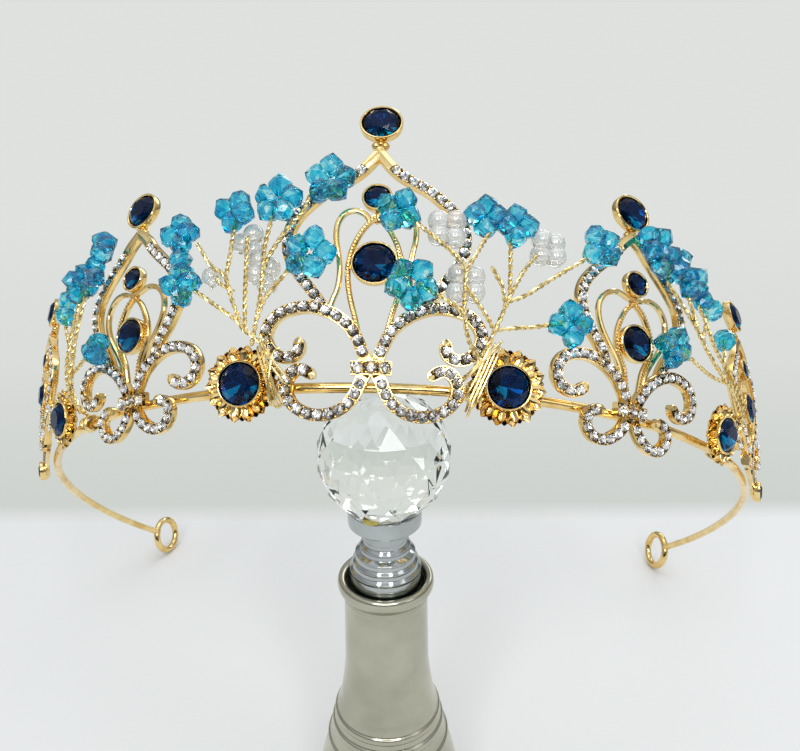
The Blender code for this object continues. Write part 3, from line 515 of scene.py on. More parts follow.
def smooth_path(points, step):
    """Points at an even step along a smooth curve through the given points, and the curve's length."""
    points = np.asarray(points, float)
    padded = np.vstack([2 * points[0] - points[1], points, 2 * points[-1] - points[-2]])
    fine = []
    for index in range(len(points) - 1):
        before, start, end, after = padded[index:index + 4]
        for part in np.linspace(0.0, 1.0, 12, endpoint=False):
            fine.append(0.5 * (2 * start + (end - before) * part
                               + (2 * before - 5 * start + 4 * end - after) * part ** 2
                               + (3 * start - before - 3 * end + after) * part ** 3))
    fine.append(points[-1])
    fine = np.array(fine)
    reach = lengths_along(fine)
    count = max(int(math.ceil(reach[-1] / step)), 2)
    wanted = np.linspace(0.0, reach[-1], count + 1)
    even = np.stack([np.interp(wanted, reach, fine[:, axis]) for axis in range(points.shape[1])], axis=1)
    return even, wanted


def directions(path, closed=False):
    if closed:
        step = np.roll(path, -1, axis=0) - np.roll(path, 1, axis=0)
    else:
        step = np.gradient(path, axis=0)
    return step / np.linalg.norm(step, axis=1)[:, None]


def path_frames(path, closed=False):
    """Two directions across a 3-D path at each of its points, turning as little as they can."""
    step = directions(path, closed)
    seed = UPWARD if abs(step[0][2]) < 0.8 else SIDEWAYS
    across = unit(seed - step[0] * step[0].dot(seed))
    firsts, seconds = [], []
    for tangent in step:
        across = unit(across - tangent * tangent.dot(across))
        firsts.append(across)
        seconds.append(np.cross(tangent, across))
    return np.array(firsts), np.array(seconds)


# shapes

class Shape:
    """Collects closed surfaces, in millimetres, with a material slot and shading for each face."""

    def __init__(self):
        self.points = []
        self.faces = []
        self.slots = []
        self.smooth = []
        self.tones = []
        self.count = 0

    def add(self, points, faces, slot=0, smooth=True, tones=None):
        points = np.asarray(points, float)
        base = self.count
        self.points.append(points)
        self.faces.extend([tuple(corner + base for corner in face) for face in faces])
        self.slots.extend([slot] * len(faces) if isinstance(slot, int) else slot)
        self.smooth.extend([smooth] * len(faces))
        self.tones.extend([0.5] * len(faces) if tones is None else tones)
        self.count += len(points)

    def placed(self, place):
        """Lays everything collected so far on the surface."""
        self.points = [place(np.vstack(self.points))]


def ring_faces(rows, count, closed=False):
    """Faces over rows of points; the ends are capped unless the last row meets the first."""
    faces = []
    pairs = list(range(rows - 1)) + ([rows - 1] if closed else [])
    for row in pairs:
        following = (row + 1) % rows
        for index in range(count):
            after = (index + 1) % count
            faces.append((row * count + index, row * count + after,
                          following * count + after, following * count + index))
    if not closed:
        faces.append(tuple(reversed(range(count))))
        faces.append(tuple((rows - 1) * count + index for index in range(count)))
    return faces


def add_tube(shape, path, radius, sides, closed=False):
    """A round wire along a path, closed on itself or with flat ends."""
    path = np.asarray(path, float)
    first, second = path_frames(path, closed)
    turns = 2 * np.pi * np.arange(sides) / sides
    ring = (first[:, None, :] * np.cos(turns)[None, :, None]
            + second[:, None, :] * np.sin(turns)[None, :, None])
    points = path[:, None, :] + ring * radius
    shape.add(points.reshape(-1, 3), ring_faces(len(path), sides, closed))


def add_lathe(shape, profile, centre, axis, across, sides):
    """A turned solid; profile rows are (radius, distance along the axis), both ends at radius 0."""
    other = np.cross(axis, across)
    points, rows = [], []
    angles = 2 * np.pi * np.arange(sides) / sides
    for radius, distance in profile:
        middle = centre + axis * distance
        start = len(points)
        if radius == 0.0:
            points.append(middle)
            rows.append([start] * sides)
        else:
            points.extend(middle + radius * (across * math.cos(angle) + other * math.sin(angle))
                          for angle in angles)
            rows.append(list(range(start, start + sides)))
    faces = []
    for first, second in zip(rows, rows[1:]):
        for index in range(sides):
            after = (index + 1) % sides
            corners = [first[index], first[after], second[after], second[index]]
            faces.append(tuple(dict.fromkeys(corners)))
    shape.add(points, faces)


def add_ball(shape, centre, radius, sides=6, rows=4):
    """A small round grain; its poles lie along out."""
    angles = [math.pi * row / rows for row in range(1, rows)]
    belt = [(radius * math.sin(angle), -radius * math.cos(angle)) for angle in angles]
    profile = [(0.0, -radius)] + belt + [(0.0, radius)]
    add_lathe(shape, profile, np.asarray(centre, float), UPWARD, SIDEWAYS, sides)


def ring_points(count, radius, height, turn):
    angles = steps_round(count, turn)
    return [(radius * math.cos(angle), radius * math.sin(angle), height) for angle in angles]


def brilliant(table, crown, pavilion, girdle):
    """Points and faces of a round stone of radius 1 with eight-fold facets, its table up."""
    kite_reach, low_reach = 0.80, 0.42
    half = math.pi / 8
    crown_slope = crown / (1.0 - table)
    rows = [
        # (points, radius, height, turn)
        (8, table, crown, 0.0),
        (8, kite_reach, crown_slope * (1.0 - kite_reach * math.cos(half)), half),
        (16, 1.0, 0.0, 0.0),
        (16, 1.0, -girdle, 0.0),
        (8, low_reach, -girdle - pavilion * (1.0 - low_reach * math.cos(half)), half),
        (1, 0.0, -girdle - pavilion, 0.0),
    ]
    points, rings = [], []
    for count, radius, height, turn in rows:
        rings.append(range(len(points), len(points) + count))
        points += ring_points(count, radius, height, turn)
    tables, kites, upper, lower, lows, (culet,) = rings
    faces, back = [tuple(tables)], [False]
    for index in range(8):
        after, before = (index + 1) % 8, (index - 1) % 8
        top = [
            (tables[index], kites[index], tables[after]),
            (tables[index], kites[before], upper[2 * index], kites[index]),
            (kites[index], upper[2 * index], upper[2 * index + 1]),
            (kites[index], upper[2 * index + 1], upper[(2 * index + 2) % 16]),
        ]
        bottom = [
            (culet, lows[before], lower[2 * index], lows[index]),
            (lows[index], lower[2 * index], lower[2 * index + 1]),
            (lows[index], lower[2 * index + 1], lower[(2 * index + 2) % 16]),
        ]
        faces += top + bottom
        back += [False] * len(top) + [True] * len(bottom)
    for index in range(16):
        after = (index + 1) % 16
        faces.append((upper[index], lower[index], lower[after], upper[after]))
        back.append(True)
    return np.array(points), faces, back


RHINESTONE = brilliant(0.58, 0.32, 0.50, 0.04)
GEM_CUT = brilliant(0.58, 0.36, 0.37, 0.05)


def add_stone(shape, cut, centre, radius, slots, chance, tilt=0.0, painted_glints=False):
    """A cut stone with its girdle at the centre; with painted glints, its lower facets get mostly bright foil
    tones and its upper ones dark tones.
    """
    points, faces, back = cut
    turn = chance.uniform(0, math.pi / 4)
    spin = np.array([[math.cos(turn), -math.sin(turn), 0], [math.sin(turn), math.cos(turn), 0], [0, 0, 1]])
    local = points @ spin.T * radius
    if tilt:
        lean_x, lean_y = chance.uniform(-tilt, tilt), chance.uniform(-tilt, tilt)
        local[:, 2] += local[:, 0] * lean_x + local[:, 1] * lean_y
    tones = [chance.random() for _ in faces]
    # painted glints: bright foil tones go mostly to the lower facets, dark ones to the rest, whatever light
    # falls on them
    if painted_glints:
        below = [local[list(face), 1].mean() < -0.12 * radius for face in faces]
        tones = [tone ** 0.5 if low else tone * 0.74 for tone, low in zip(tones, below)]
    slot = [slots[1] if is_back else slots[0] for is_back in back]
    shape.add(local + np.asarray(centre, float), faces, slot, False, tones)


# materials

def set_values(node, **values):
    for name, value in values.items():
        node.inputs[name.replace("_", " ")].default_value = value


def new_material(name, **values):
    material = bpy.data.materials.new(name)
    material.use_nodes = True
    tree = material.node_tree
    shader = tree.nodes["Principled BSDF"]
    set_values(shader, **values)
    return material, tree, shader


def add_node(tree, kind, linked=(), setting=None, **values):
    """A shader node with one setting and its values set, and (socket, source) pairs linked."""
    node = tree.nodes.new("ShaderNode" + kind)
    if setting:
        setattr(node, *setting)
    set_values(node, **values)
    for socket, source in linked:
        tree.links.new(source, node.inputs[socket])
    return node


def object_noise(tree, scale, detail=4.0):
    place = add_node(tree, "TexCoord").outputs["Object"]
    noise = add_node(tree, "TexNoise", [("Vector", place)], Scale=scale, Detail=detail, Roughness=0.55)
    return noise.outputs["Fac"]


def ramp(tree, source, stops):
    """Colour ramp; stops are (place, colour)."""
    node = tree.nodes.new("ShaderNodeValToRGB")
    elements = node.color_ramp.elements
    elements[0].position, elements[0].color = stops[0][0], (*stops[0][1], 1.0)
    elements[1].position, elements[1].color = stops[-1][0], (*stops[-1][1], 1.0)
    for place, colour in stops[1:-1]:
        element = elements.new(place)
        element.color = (*colour, 1.0)
    tree.links.new(source, node.inputs["Fac"])
    return node.outputs["Color"]


def map_range(tree, source, **limits):
    return add_node(tree, "MapRange", [("Value", source)], **limits).outputs["Result"]


def tint(tree, shader, source, stops):
    tree.links.new(ramp(tree, source, stops), shader.inputs["Base Color"])


def gloss(tree, shader, source, low, high):
    """Roughness that runs from low to high over a noise's usual range."""
    rough = map_range(tree, source, From_Min=0.3, From_Max=0.7, To_Min=low, To_Max=high)
    tree.links.new(rough, shader.inputs["Roughness"])


def bump(tree, shader, source, strength, distance):
    node = add_node(tree, "Bump", [("Height", source)], Strength=strength, Distance=distance)
    tree.links.new(node.outputs["Normal"], shader.inputs["Normal"])


def metal(name, dark, light, low_rough, high_rough, colour_scale, bump_scale, bump_strength):
    """Polished metal with slight changes of tone, gloss and surface."""
    material, tree, shader = new_material(name, Metallic=1.0)
    tint(tree, shader, object_noise(tree, colour_scale), [(0.35, dark), (0.65, light)])
    gloss(tree, shader, object_noise(tree, colour_scale * 2.3, 6.0), low_rough, high_rough)
    bump(tree, shader, object_noise(tree, bump_scale, 3.0), bump_strength, 0.00004)
    return material


def brushed_metal(name, dark, light, low_rough, high_rough):
    """Turned metal whose fine rings run round a standing axis."""
    material, tree, shader = new_material(name, Metallic=1.0)
    place = add_node(tree, "TexCoord").outputs["Object"]
    squash = add_node(tree, "Mapping", [("Vector", place)], Scale=(60.0, 60.0, 9000.0)).outputs["Vector"]
    rings = add_node(tree, "TexNoise", [("Vector", squash)], Scale=1.0, Detail=5.0).outputs["Fac"]
    tint(tree, shader, object_noise(tree, 70.0), [(0.35, dark), (0.65, light)])
    gloss(tree, shader, rings, low_rough, high_rough)
    bump(tree, shader, rings, 0.25, 0.00002)
    return material


def face_tone(tree):
    return add_node(tree, "Attribute", setting=("attribute_name", "tone")).outputs["Fac"]


def foil(name, stops):
    """The mirrored back of a stone, with a tone of its own on each facet."""
    material, tree, shader = new_material(name, Metallic=1.0, Roughness=0.10)
    tint(tree, shader, face_tone(tree), stops)
    return material


def glass(name, stops, roughness, index, coat=0.0, clear=1.0):
    """Clear or tinted glass, its tint varied from facet to facet."""
    material, tree, shader = new_material(
        name, Roughness=roughness, IOR=index, Transmission_Weight=clear, Coat_Weight=coat)
    tint(tree, shader, face_tone(tree), stops)
    return material


def pearl_shell():
    material, tree, shader = new_material("pearl_shell", IOR=1.32, Transmission_Weight=0.55)
    set_values(shader, Coat_Weight=1.0, Coat_IOR=2.1, Coat_Roughness=0.03)
    cloud = object_noise(tree, 500.0)
    tint(tree, shader, cloud, [(0.3, (0.90, 0.91, 0.89)), (0.7, (1.0, 1.0, 0.98))])
    gloss(tree, shader, cloud, 0.04, 0.12)
    return material


def amber_glue():
    material, tree, shader = new_material("glue_amber", Roughness=0.25, IOR=1.45, Transmission_Weight=0.4)
    tint(tree, shader, object_noise(tree, 900.0), [(0.3, (0.66, 0.52, 0.10)), (0.7, (0.86, 0.76, 0.26))])
    return material


GOLD = metal("gold_polished", (0.77, 0.53, 0.19), (0.97, 0.75, 0.36), 0.07, 0.17, 220.0, 1800.0, 0.3)
WIRE_GOLD = metal("gold_wire", (0.84, 0.65, 0.28), (0.98, 0.83, 0.46), 0.20, 0.32, 400.0, 2600.0, 0.2)
CHROME = brushed_metal("chrome", (0.34, 0.37, 0.37), (0.48, 0.51, 0.51), 0.06, 0.14)
NICKEL = brushed_metal("nickel_brushed", (0.40, 0.39, 0.31), (0.52, 0.51, 0.41), 0.14, 0.24)
CLEAR_CROWN = glass("rhinestone_glass", [(0.0, (0.94, 0.95, 0.97)), (1.0, (1.0, 0.99, 0.97))], 0.0, 1.54)
CLEAR_FOIL = foil("rhinestone_foil", [
    (0.0, (0.16, 0.13, 0.12)), (0.22, (0.6, 0.56, 0.54)), (0.38, (0.98, 0.97, 0.96)), (1.0, (1.0, 1.0, 1.0))])
BLUE_CROWN = glass("blue_gem_glass", [(0.0, (0.001, 0.15, 0.34)), (1.0, (0.003, 0.28, 0.50))], 0.0, 1.27)
# painted glints: foil tones above 0.72 run from bright cyan to white and are given mostly to the lower facets
# of the blue stones
BLUE_FOIL = foil("blue_gem_foil", [
    (0.0, (0.01, 0.03, 0.08)), (0.72, (0.03, 0.09, 0.20)), (0.78, (0.4, 0.9, 1.0)), (1.0, (1.0, 1.0, 1.0))])
AQUA = glass("aqua_glass", [
    (0.0, (0.0, 0.24, 0.50)), (0.4, (0.01, 0.54, 0.83)), (0.75, (0.12, 0.80, 0.97)), (1.0, (0.75, 0.98, 1.0)),
], 0.01, 1.37, coat=0.35, clear=0.93)
BALL_GLASS = glass("ball_glass", [(0.0, (0.86, 0.90, 0.87)), (1.0, (0.94, 0.96, 0.94))], 0.0, 1.5)
PEARL = pearl_shell()
GLUE = amber_glue()


# pieces

def new_object(name, data):
    item = bpy.data.objects.new(name, data)
    bpy.context.scene.collection.objects.link(item)
    return item


def make_piece(name, shape, materials, nodes=(), crease=38.0):
    """A finished piece that rides on the part, with outward faces and creases at its edges."""
    mesh = bpy.data.meshes.new(name)
    points = np.vstack(shape.points) * MM
    mesh.from_pydata(points.tolist(), [], shape.faces)
    mesh.polygons.foreach_set("material_index", shape.slots)
    mesh.polygons.foreach_set("use_smooth", shape.smooth)
    tone = mesh.attributes.new("tone", "FLOAT", "FACE")
    tone.data.foreach_set("value", shape.tones)
    work = bmesh.new()
    work.from_mesh(mesh)
    bmesh.ops.recalc_face_normals(work, faces=work.faces)
    for edge in work.edges:
        flat = any(not face.smooth for face in edge.link_faces)
        edge.smooth = not flat and edge.calc_face_angle(math.pi) < math.radians(crease)
    work.to_mesh(mesh)
    work.free()
    for material in materials:
        mesh.materials.append(material)
    piece = new_object(name, mesh)
    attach(piece, "root")
    if nodes:
        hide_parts(*nodes)


def tip_shape(reach, length):
    """Share of the full width near a round tip, for distances from the tip."""
    part = np.clip(reach / length, 0.0, 1.0)
    return np.sqrt(np.clip(1.0 - (1.0 - part) ** 2, 0.0, 1.0)) * 0.92 + 0.08


def strip_line(points):
    """A strip's path in the panel's plane, the lengths along it and the directions across it."""
    path, reach = smooth_path(points, PATH_STEP)
    step = directions(path)
    return path, reach, np.stack([-step[:, 1], step[:, 0]], axis=1)


def point_at(place, reach, path):
    return [np.interp(place, reach, path[:, axis]) for axis in (0, 1)]


def section(right, crown):
    """Closed outline of (across, out) from its right half, back first, and the top of its middle."""
    left = [(-across, out) for across, out in right]
    return left[:1] + right + [(0.0, crown)] + left[:0:-1]


def add_sweep(shape, path, side, sections):
    """A strip that has one section at each point of its path."""
    rows = []
    for middle, sideways, outline in zip(path, side, sections):
        for across, out in outline:
            flat = middle + sideways * across
            rows.append((flat[0], flat[1], out))
    shape.add(rows, ring_faces(len(path), len(sections[0])))


def add_channel(shape, points, width, plain, tip):
    """A cast strip with a trough for stones; the first stretch and the tip are solid."""
    path, reach, side = strip_line(points)
    length = reach[-1]
    share = tip_shape(length - reach, TIP_LENGTH) if tip else np.ones(len(path))
    filled = np.clip(1.0 - (reach - plain) / 0.6, 0.0, 1.0)
    if tip:
        filled = np.maximum(filled, np.clip(1.0 - (length - reach - 1.0) / 0.5, 0.0, 1.0))
    sections = []
    for half, fill in zip(width / 2 * share, filled):
        lip = min(0.2, half * 0.45)
        trough = STRIP_FRONT - TROUGH_DEPTH + TROUGH_DEPTH * fill
        sections.append(section([
            (half * 0.8, STRIP_BACK), (half, STRIP_BACK + 0.22), (half, STRIP_FRONT - 0.16),
            (half - lip * 0.3, STRIP_FRONT), (half - lip * 0.8, STRIP_FRONT), (half - lip, trough),
        ], trough + 0.3 * fill))
    add_sweep(shape, path, side, sections)
    return path, reach, side


def add_paving(shape, path, reach, side, width, start, end, chance):
    """Stones in a row with grains of metal between them."""
    count = max(int(round((end - start) / STONE_PITCH)), 1)
    places = np.linspace(start, end, count + 1)
    pitch = places[1] - places[0]
    size = min(width * STONE_SHARE, pitch * 0.495)
    for number, place in enumerate(places):
        along, up = point_at(place, reach, path)
        add_stone(shape, RHINESTONE, (along, up, STRIP_FRONT + 0.06), size, PAVED_SLOTS, chance, 0.14)
        if number == 0:
            continue
        for hand in (-1.0, 1.0):
            along, up = point_at(place - pitch / 2, reach, path + hand * side * width * 0.37)
            add_ball(shape, (along, up, STRIP_FRONT + 0.12), PRONG_RADIUS)


def add_strand(shape, points, width, beaded):
    """A thin flat strand, with a row of grains along it if it is beaded."""
    path, reach, side = strip_line(points)
    back, front = STRIP_BACK + STRAND_INSET, STRIP_FRONT - STRAND_INSET
    half = width / 2
    outline = section([
        (half * 0.7, back), (half, back + 0.18), (half, front - 0.25), (half * 0.6, front - 0.04),
    ], front)
    add_sweep(shape, path, side, [outline] * len(path))
    if beaded:
        for place in np.arange(GRAIN_PITCH / 2, reach[-1], GRAIN_PITCH):
            along, up = point_at(place, reach, path)
            add_ball(shape, (along, up, front + 0.02), GRAIN_RADIUS, 8)


def add_cup(shape, along, up, radius):
    """A round cup with a rim that closes over the stone's edge."""
    profile = [
        (0.0, BEZEL_BACK), (radius * 0.72, BEZEL_BACK), (radius * 0.86, BEZEL_BACK + 0.12),
        (radius + 0.36, BEZEL_FLOOR - 0.1), (radius + 0.42, BEZEL_FLOOR + 0.2),
        (radius + 0.42, BEZEL_RIM - 0.2), (radius + 0.39, BEZEL_RIM - 0.02),
        (radius + 0.28, BEZEL_RIM + 0.08), (radius + 0.12, BEZEL_RIM + 0.07),
        (radius + 0.02, BEZEL_RIM - 0.04), (radius + 0.06, BEZEL_RIM - 0.3),
        (radius + 0.08, BEZEL_FLOOR), (0.0, BEZEL_BACK + 0.12),
    ]
    add_lathe(shape, profile, np.array([along, up, 0.0]), UPWARD, SIDEWAYS, 36)


def add_stem(shape, top, bottom, width):
    """A round pin in the panel's plane."""
    path = [(0.0, up, STEM_OUT) for up in (top, (top + bottom) / 2, bottom)]
    add_tube(shape, path, width / 2 * 0.8, 12)


def add_plate(shape, hand, chance):
    """The flat tail that narrows along the rod, with a few stones on its upper edge."""
    path, reach, side = strip_line([(hand * along, up) for along, up in TIP_PLATE])
    share = np.interp(reach / reach[-1], [0.0, 0.45, 0.9, 1.0], [1.0, 1.0, 0.42, 0.12])
    back, front = STRIP_BACK - 0.1, STRIP_BACK + 0.75
    sections = [
        section([(half * 0.85, back), (half, STRIP_BACK + 0.15), (half, front - 0.2), (half * 0.7, front)],
                front + 0.1)
        for half in TIP_PLATE_WIDTH / 2 * share
    ]
    add_sweep(shape, path, side, sections)
    for place in np.arange(3.4, 9.2, 1.9):
        along, up = point_at(place, reach, path + 0.5 * hand * side)
        add_stone(shape, RHINESTONE, (along, up, front + 0.2), 0.85, PAVED_SLOTS, chance, 0.12)


def add_gem(name, node, centre, radius, chance, place):
    """A blue stone as a piece of its own, with painted glints: bright foil tones on its lower facets."""
    stone = Shape()
    add_stone(stone, GEM_CUT, centre, radius, (0, 1), chance, 0.0, True)
    stone.placed(place)
    make_piece(name, stone, [BLUE_CROWN, BLUE_FOIL], [node])


def mirrored(points):
    return [(-along, up) for along, up in points]


def add_strip(shape, name, width, points, chance):
    """One strip, finished as its name says."""
    plain, first_stone, beaded, tip = FINISH[name]
    if first_stone is None:
        add_strand(shape, points, width, beaded)
        return
    path, reach, side = add_channel(shape, points, width, plain, tip)
    last_stone = reach[-1] - (TIP_LENGTH + 0.7 if tip else 1.4)
    add_paving(shape, path, reach, side, width, first_stone, last_stone, chance)


def add_knot(shape, stones, bar_width, chance):
    """The bar over the band with its larger stones, each held by four prongs."""
    first, middle, last = stones[0], stones[len(stones) // 2], stones[-1]
    bar = [(first[0] - first[2], first[1]), (0.0, middle[1]), (last[0] + last[2], first[1])]
    add_channel(shape, bar, bar_width, 0.0, False)
    for along, up, radius in stones:
        add_stone(shape, RHINESTONE, (along, up, STRIP_FRONT + 0.12), radius, PAVED_SLOTS, chance, 0.08)
        for corner in range(4):
            angle = math.pi / 4 + corner * math.pi / 2
            prong = (along + radius * math.cos(angle), up + radius * math.sin(angle), STRIP_FRONT + 0.15)
            add_ball(shape, prong, PRONG_RADIUS * 1.1)


def add_nubs(shape, up, radius):
    """Three small balls under the top stone."""
    nub = radius * 0.24
    for along, drop, size in ((-nub, 1.25, nub), (nub, 1.25, nub), (0.0, 0.75, nub * 0.8)):
        add_ball(shape, (along, up - radius - drop, 2.1), size, 12, 8)


def panel(name, kind, middle, lean, lift, lift_rate):
    """One openwork panel as a single casting, and its blue stones."""
    strips, knots, bar_width, stems = KINDS[kind]
    chance = random.Random(SEED + int(middle * 10))
    hand = -1.0 if middle < 0 else 1.0
    place = panel_placer(middle, lean, lift, lift_rate)
    shape = Shape()
    for strip_name, (width, points) in strips.items():
        for half in (points, mirrored(points)):
            add_strip(shape, strip_name, width, half, chance)
    add_knot(shape, knots, bar_width, chance)
    if kind == "end":
        add_plate(shape, hand, chance)
    for top, bottom, width in stems:
        add_stem(shape, top, bottom, width)
    for along, up, radius in GEMS[kind].values():
        add_cup(shape, hand * along, up, radius)
    add_nubs(shape, *GEMS[kind]["finial"][1:])
    shape.placed(place)
    make_piece(f"{name}_casting", shape, [GOLD, CLEAR_CROWN, CLEAR_FOIL], [name])
    short = name.replace("_panel", "")
    for gem_name, (along, up, radius) in GEMS[kind].items():
        centre = (hand * along, up, BEZEL_RIM - 0.28)
        add_gem(f"{short}_stone_{gem_name}", f"{short}_gem_{gem_name}", centre, radius, chance, place)


# rosettes

def petal(length, width, rise):
    """Grid of points (out from the foot, across, height) of a leaf scooped like a spoon."""
    front, back = [], []
    for row in range(PETAL_ROWS):
        part = row / (PETAL_ROWS - 1)
        if part < PETAL_WIDEST:
            half = width / 2 * (0.78 + 0.22 * part / PETAL_WIDEST)
        else:
            half = width / 2 * math.sqrt(1.0 - ((part - PETAL_WIDEST) / (1.04 - PETAL_WIDEST)) ** 2)
        for column in range(PETAL_COLUMNS):
            side = 2 * column / (PETAL_COLUMNS - 1) - 1
            reach = length * (part - 0.12 * side * side * part)
            brim = max(abs(side) ** 2.6, max(0.0, (part - 0.5) / 0.5) ** 2)
            height = rise * (0.35 * part + 0.65 * brim)
            front.append((reach, half * side, height))
            back.append((reach, half * side * 0.9, height - PETAL_THICKNESS))
    return front, back


def petal_faces():
    """Faces of a leaf's front, back and rim, over the points that petal gives."""
    count = PETAL_ROWS * PETAL_COLUMNS
    faces = []
    for row in range(PETAL_ROWS - 1):
        for column in range(PETAL_COLUMNS - 1):
            near = row * PETAL_COLUMNS + column
            far = near + PETAL_COLUMNS
            faces.append((near, near + 1, far + 1, far))
            faces.append((far + count, far + 1 + count, near + 1 + count, near + count))
    rim = list(range(PETAL_COLUMNS))
    rim += [row * PETAL_COLUMNS + PETAL_COLUMNS - 1 for row in range(1, PETAL_ROWS)]
    rim += [(PETAL_ROWS - 1) * PETAL_COLUMNS + column for column in range(PETAL_COLUMNS - 2, -1, -1)]
    rim += [row * PETAL_COLUMNS for row in range(PETAL_ROWS - 2, 0, -1)]
    for first, second in zip(rim, rim[1:] + rim[:1]):
        faces.append((second, first, first + count, second + count))
    return faces


def rosette(name, along, up, gem_radius, tip_radius):
    """Two layers of leaves round a cup, and its blue stone."""
    chance = random.Random(SEED + int(along))
    shape = Shape()
    faces = petal_faces()
    tip_radius += PETAL_GROWTH
    foot = gem_radius - 0.1
    length = tip_radius - foot
    width = 2 * math.pi * (tip_radius - length * 0.45) / ROSETTE_PETALS * 1.02
    for turn, drop, share in PETAL_LAYERS:
        for index in range(ROSETTE_PETALS):
            angle = 2 * math.pi * (index + turn) / ROSETTE_PETALS
            grow = share * chance.uniform(0.96, 1.0)
            front, back = petal(length * grow, width, PETAL_RISE)
            points = []
            for reach, across, height in front + back:
                radial = foot + reach
                points.append((along + radial * math.cos(angle) - across * math.sin(angle),
                               up + radial * math.sin(angle) + across * math.cos(angle),
                               ROSETTE_OUT + 0.5 + height + drop))
            shape.add(points, faces)
    cup = [(gem_radius + beyond, ROSETTE_OUT + out) for beyond, out in ROSETTE_CUP]
    cup = [(0.0, cup[0][1])] + cup + [(0.0, ROSETTE_OUT + 0.38)]
    add_lathe(shape, cup, np.array([along, up, 0.0]), UPWARD, SIDEWAYS, 44)
    shape.placed(surface)
    make_piece(f"{name}_casting", shape, [GOLD], [name])
    add_gem(f"{name}_stone", f"{name}_gem", (along, up, ROSETTE_OUT + 1.95), gem_radius, chance, surface)


# wires

def add_twist(shape, path, start_turn):
    """Two fine wires twisted round each other along a path."""
    reach = lengths_along(path)
    first, second = path_frames(path)
    for strand in range(2):
        angle = start_turn + math.pi * strand + 2 * math.pi * reach / TWIST_PITCH
        line = path + STRAND_OFFSET * (first * np.cos(angle)[:, None] + second * np.sin(angle)[:, None])
        add_tube(shape, line, STRAND_RADIUS, 7)


def reaching(points):
    """Points of a branch, run on into its beads; a branch that ends low down joins another one."""
    before, tip = np.array(points[-2]), np.array(points[-1])
    if tip[1] < LOWEST_TIP:
        return points
    return points + [tuple(tip + unit(tip - before) * INTO_BEADS)]


def wire_spray(name, coils, branches):
    """Twisted stems that fan out from coils round the rod."""
    chance = random.Random(SEED + len(name) + len(branches))
    shape = Shape()
    for points in branches:
        flat, _ = smooth_path(reaching(points), 0.25)
        add_twist(shape, surface(flat), chance.uniform(0, 2 * math.pi))
    for points in WRAPS.get(name, []):
        flat, _ = smooth_path(points, 0.5)
        add_tube(shape, surface(flat), WRAP_RADIUS, 7)
    for along in coils:
        for strand in range(3):
            middle = along + (strand - 1) * COIL_PITCH
            here, right, above, front = surface_frame(middle, 0.0, 0.0)
            wobble = chance.uniform(-0.35, 0.35)
            ring = []
            for angle in steps_round(28):
                radius = COIL_RADIUS + 0.2 * math.cos(angle - 1.0)
                ring.append(here + (above * math.cos(angle) + front * math.sin(angle)) * radius
                            + right * wobble * math.cos(angle))
            add_tube(shape, ring, COIL_WIRE, 7, closed=True)
    make_piece(f"{name}_twists", shape, [WIRE_GOLD], [name])


# beads and pearls

def bicone(sides=8):
    """Points and faces of a cut double cone of radius 1 whose ends are small flats."""
    rows = [
        # (radius, height, turn in half steps)
        (0.38, -0.90, 0), (0.78, -0.42, 1), (1.04, 0.0, 0), (0.78, 0.42, 1), (0.38, 0.90, 0),
    ]
    points = []
    for radius, height, turn in rows:
        points += ring_points(sides, radius, height, turn * math.pi / sides)
    faces = [tuple(reversed(range(sides)))]
    for row in range(4):
        base, top = row * sides, (row + 1) * sides
        shift = rows[row][2]
        for index in range(sides):
            after = (index + 1) % sides
            if shift == 0:
                faces.append((base + index, base + after, top + index))
                faces.append((base + after, top + after, top + index))
            else:
                faces.append((base + index, base + after, top + after))
                faces.append((base + index, top + after, top + index))
    faces.append(tuple(4 * sides + index for index in range(sides)))
    return np.array(points), faces


BICONE = bicone()


def pearl_profile(rows=16):
    """A round bead with a small drilled dimple at each end."""
    hole = PEARL_RADIUS * 0.16
    floor, brim = PEARL_RADIUS * 0.72, PEARL_RADIUS * 0.78
    start = math.asin(0.16 * 1.35)
    angles = [start + (math.pi - 2 * start) * row / rows for row in range(rows + 1)]
    belly = [(PEARL_RADIUS * math.sin(angle), -PEARL_RADIUS * math.cos(angle)) for angle in angles]
    return [(0.0, -floor), (hole, -brim)] + belly + [(hole, brim), (0.0, floor)]


PEARL_PROFILE = pearl_profile()


def ring_places(along, up, out, ring_radius, count, turn):
    """Middle and axis of each bead of a ring."""
    here, right, above, front = surface_frame(along, up, out)
    places = []
    for index, angle in enumerate(steps_round(count, math.radians(turn))):
        ray = right * math.cos(angle) + above * math.sin(angle)
        axis = above * math.cos(angle) - right * math.sin(angle)
        lift = 0.35 if index % 2 else -0.15
        places.append((here + ray * ring_radius + front * lift, axis, front))
    return places


def add_thread(shape, places):
    """The fine wire that shows between the beads of a ring."""
    if len(places) < 2:
        middle, axis, front = places[0]
        for hand in (-1.0, 1.0):
            path = np.array([middle + axis * hand * step for step in (1.5, 2.0, 2.5)])
            add_tube(shape, path, THREAD_RADIUS, 6)
        return
    for number, (middle, axis, front) in enumerate(places):
        after, after_axis, _ = places[(number + 1) % len(places)]
        start, end = middle + axis * THREAD_END, after - after_axis * THREAD_END
        path, _ = smooth_path([start, (start + end) / 2 + front * 0.5, end], 0.3)
        add_tube(shape, path, THREAD_RADIUS, 6)


def add_cut_bead(shape, middle, axis, front, chance):
    """A double cone threaded roughly along the axis, tipped and spun by chance."""
    points, faces = BICONE
    nod, sway = chance.uniform(-0.6, 0.6), chance.uniform(-0.4, 0.4)
    axle = unit(axis + front * nod + np.cross(axis, front) * sway)
    face = unit(front - axle * axle.dot(front))
    basis = np.array([face, np.cross(axle, face), axle])
    spin = chance.uniform(0, math.pi / 4)
    spun = points.copy()
    spun[:, 0] = points[:, 0] * math.cos(spin) - points[:, 1] * math.sin(spin)
    spun[:, 1] = points[:, 0] * math.sin(spin) + points[:, 1] * math.cos(spin)
    tones = [chance.random() for _ in faces]
    shape.add(spun * CUT_BEAD_RADIUS @ basis + middle, faces, 0, False, tones)


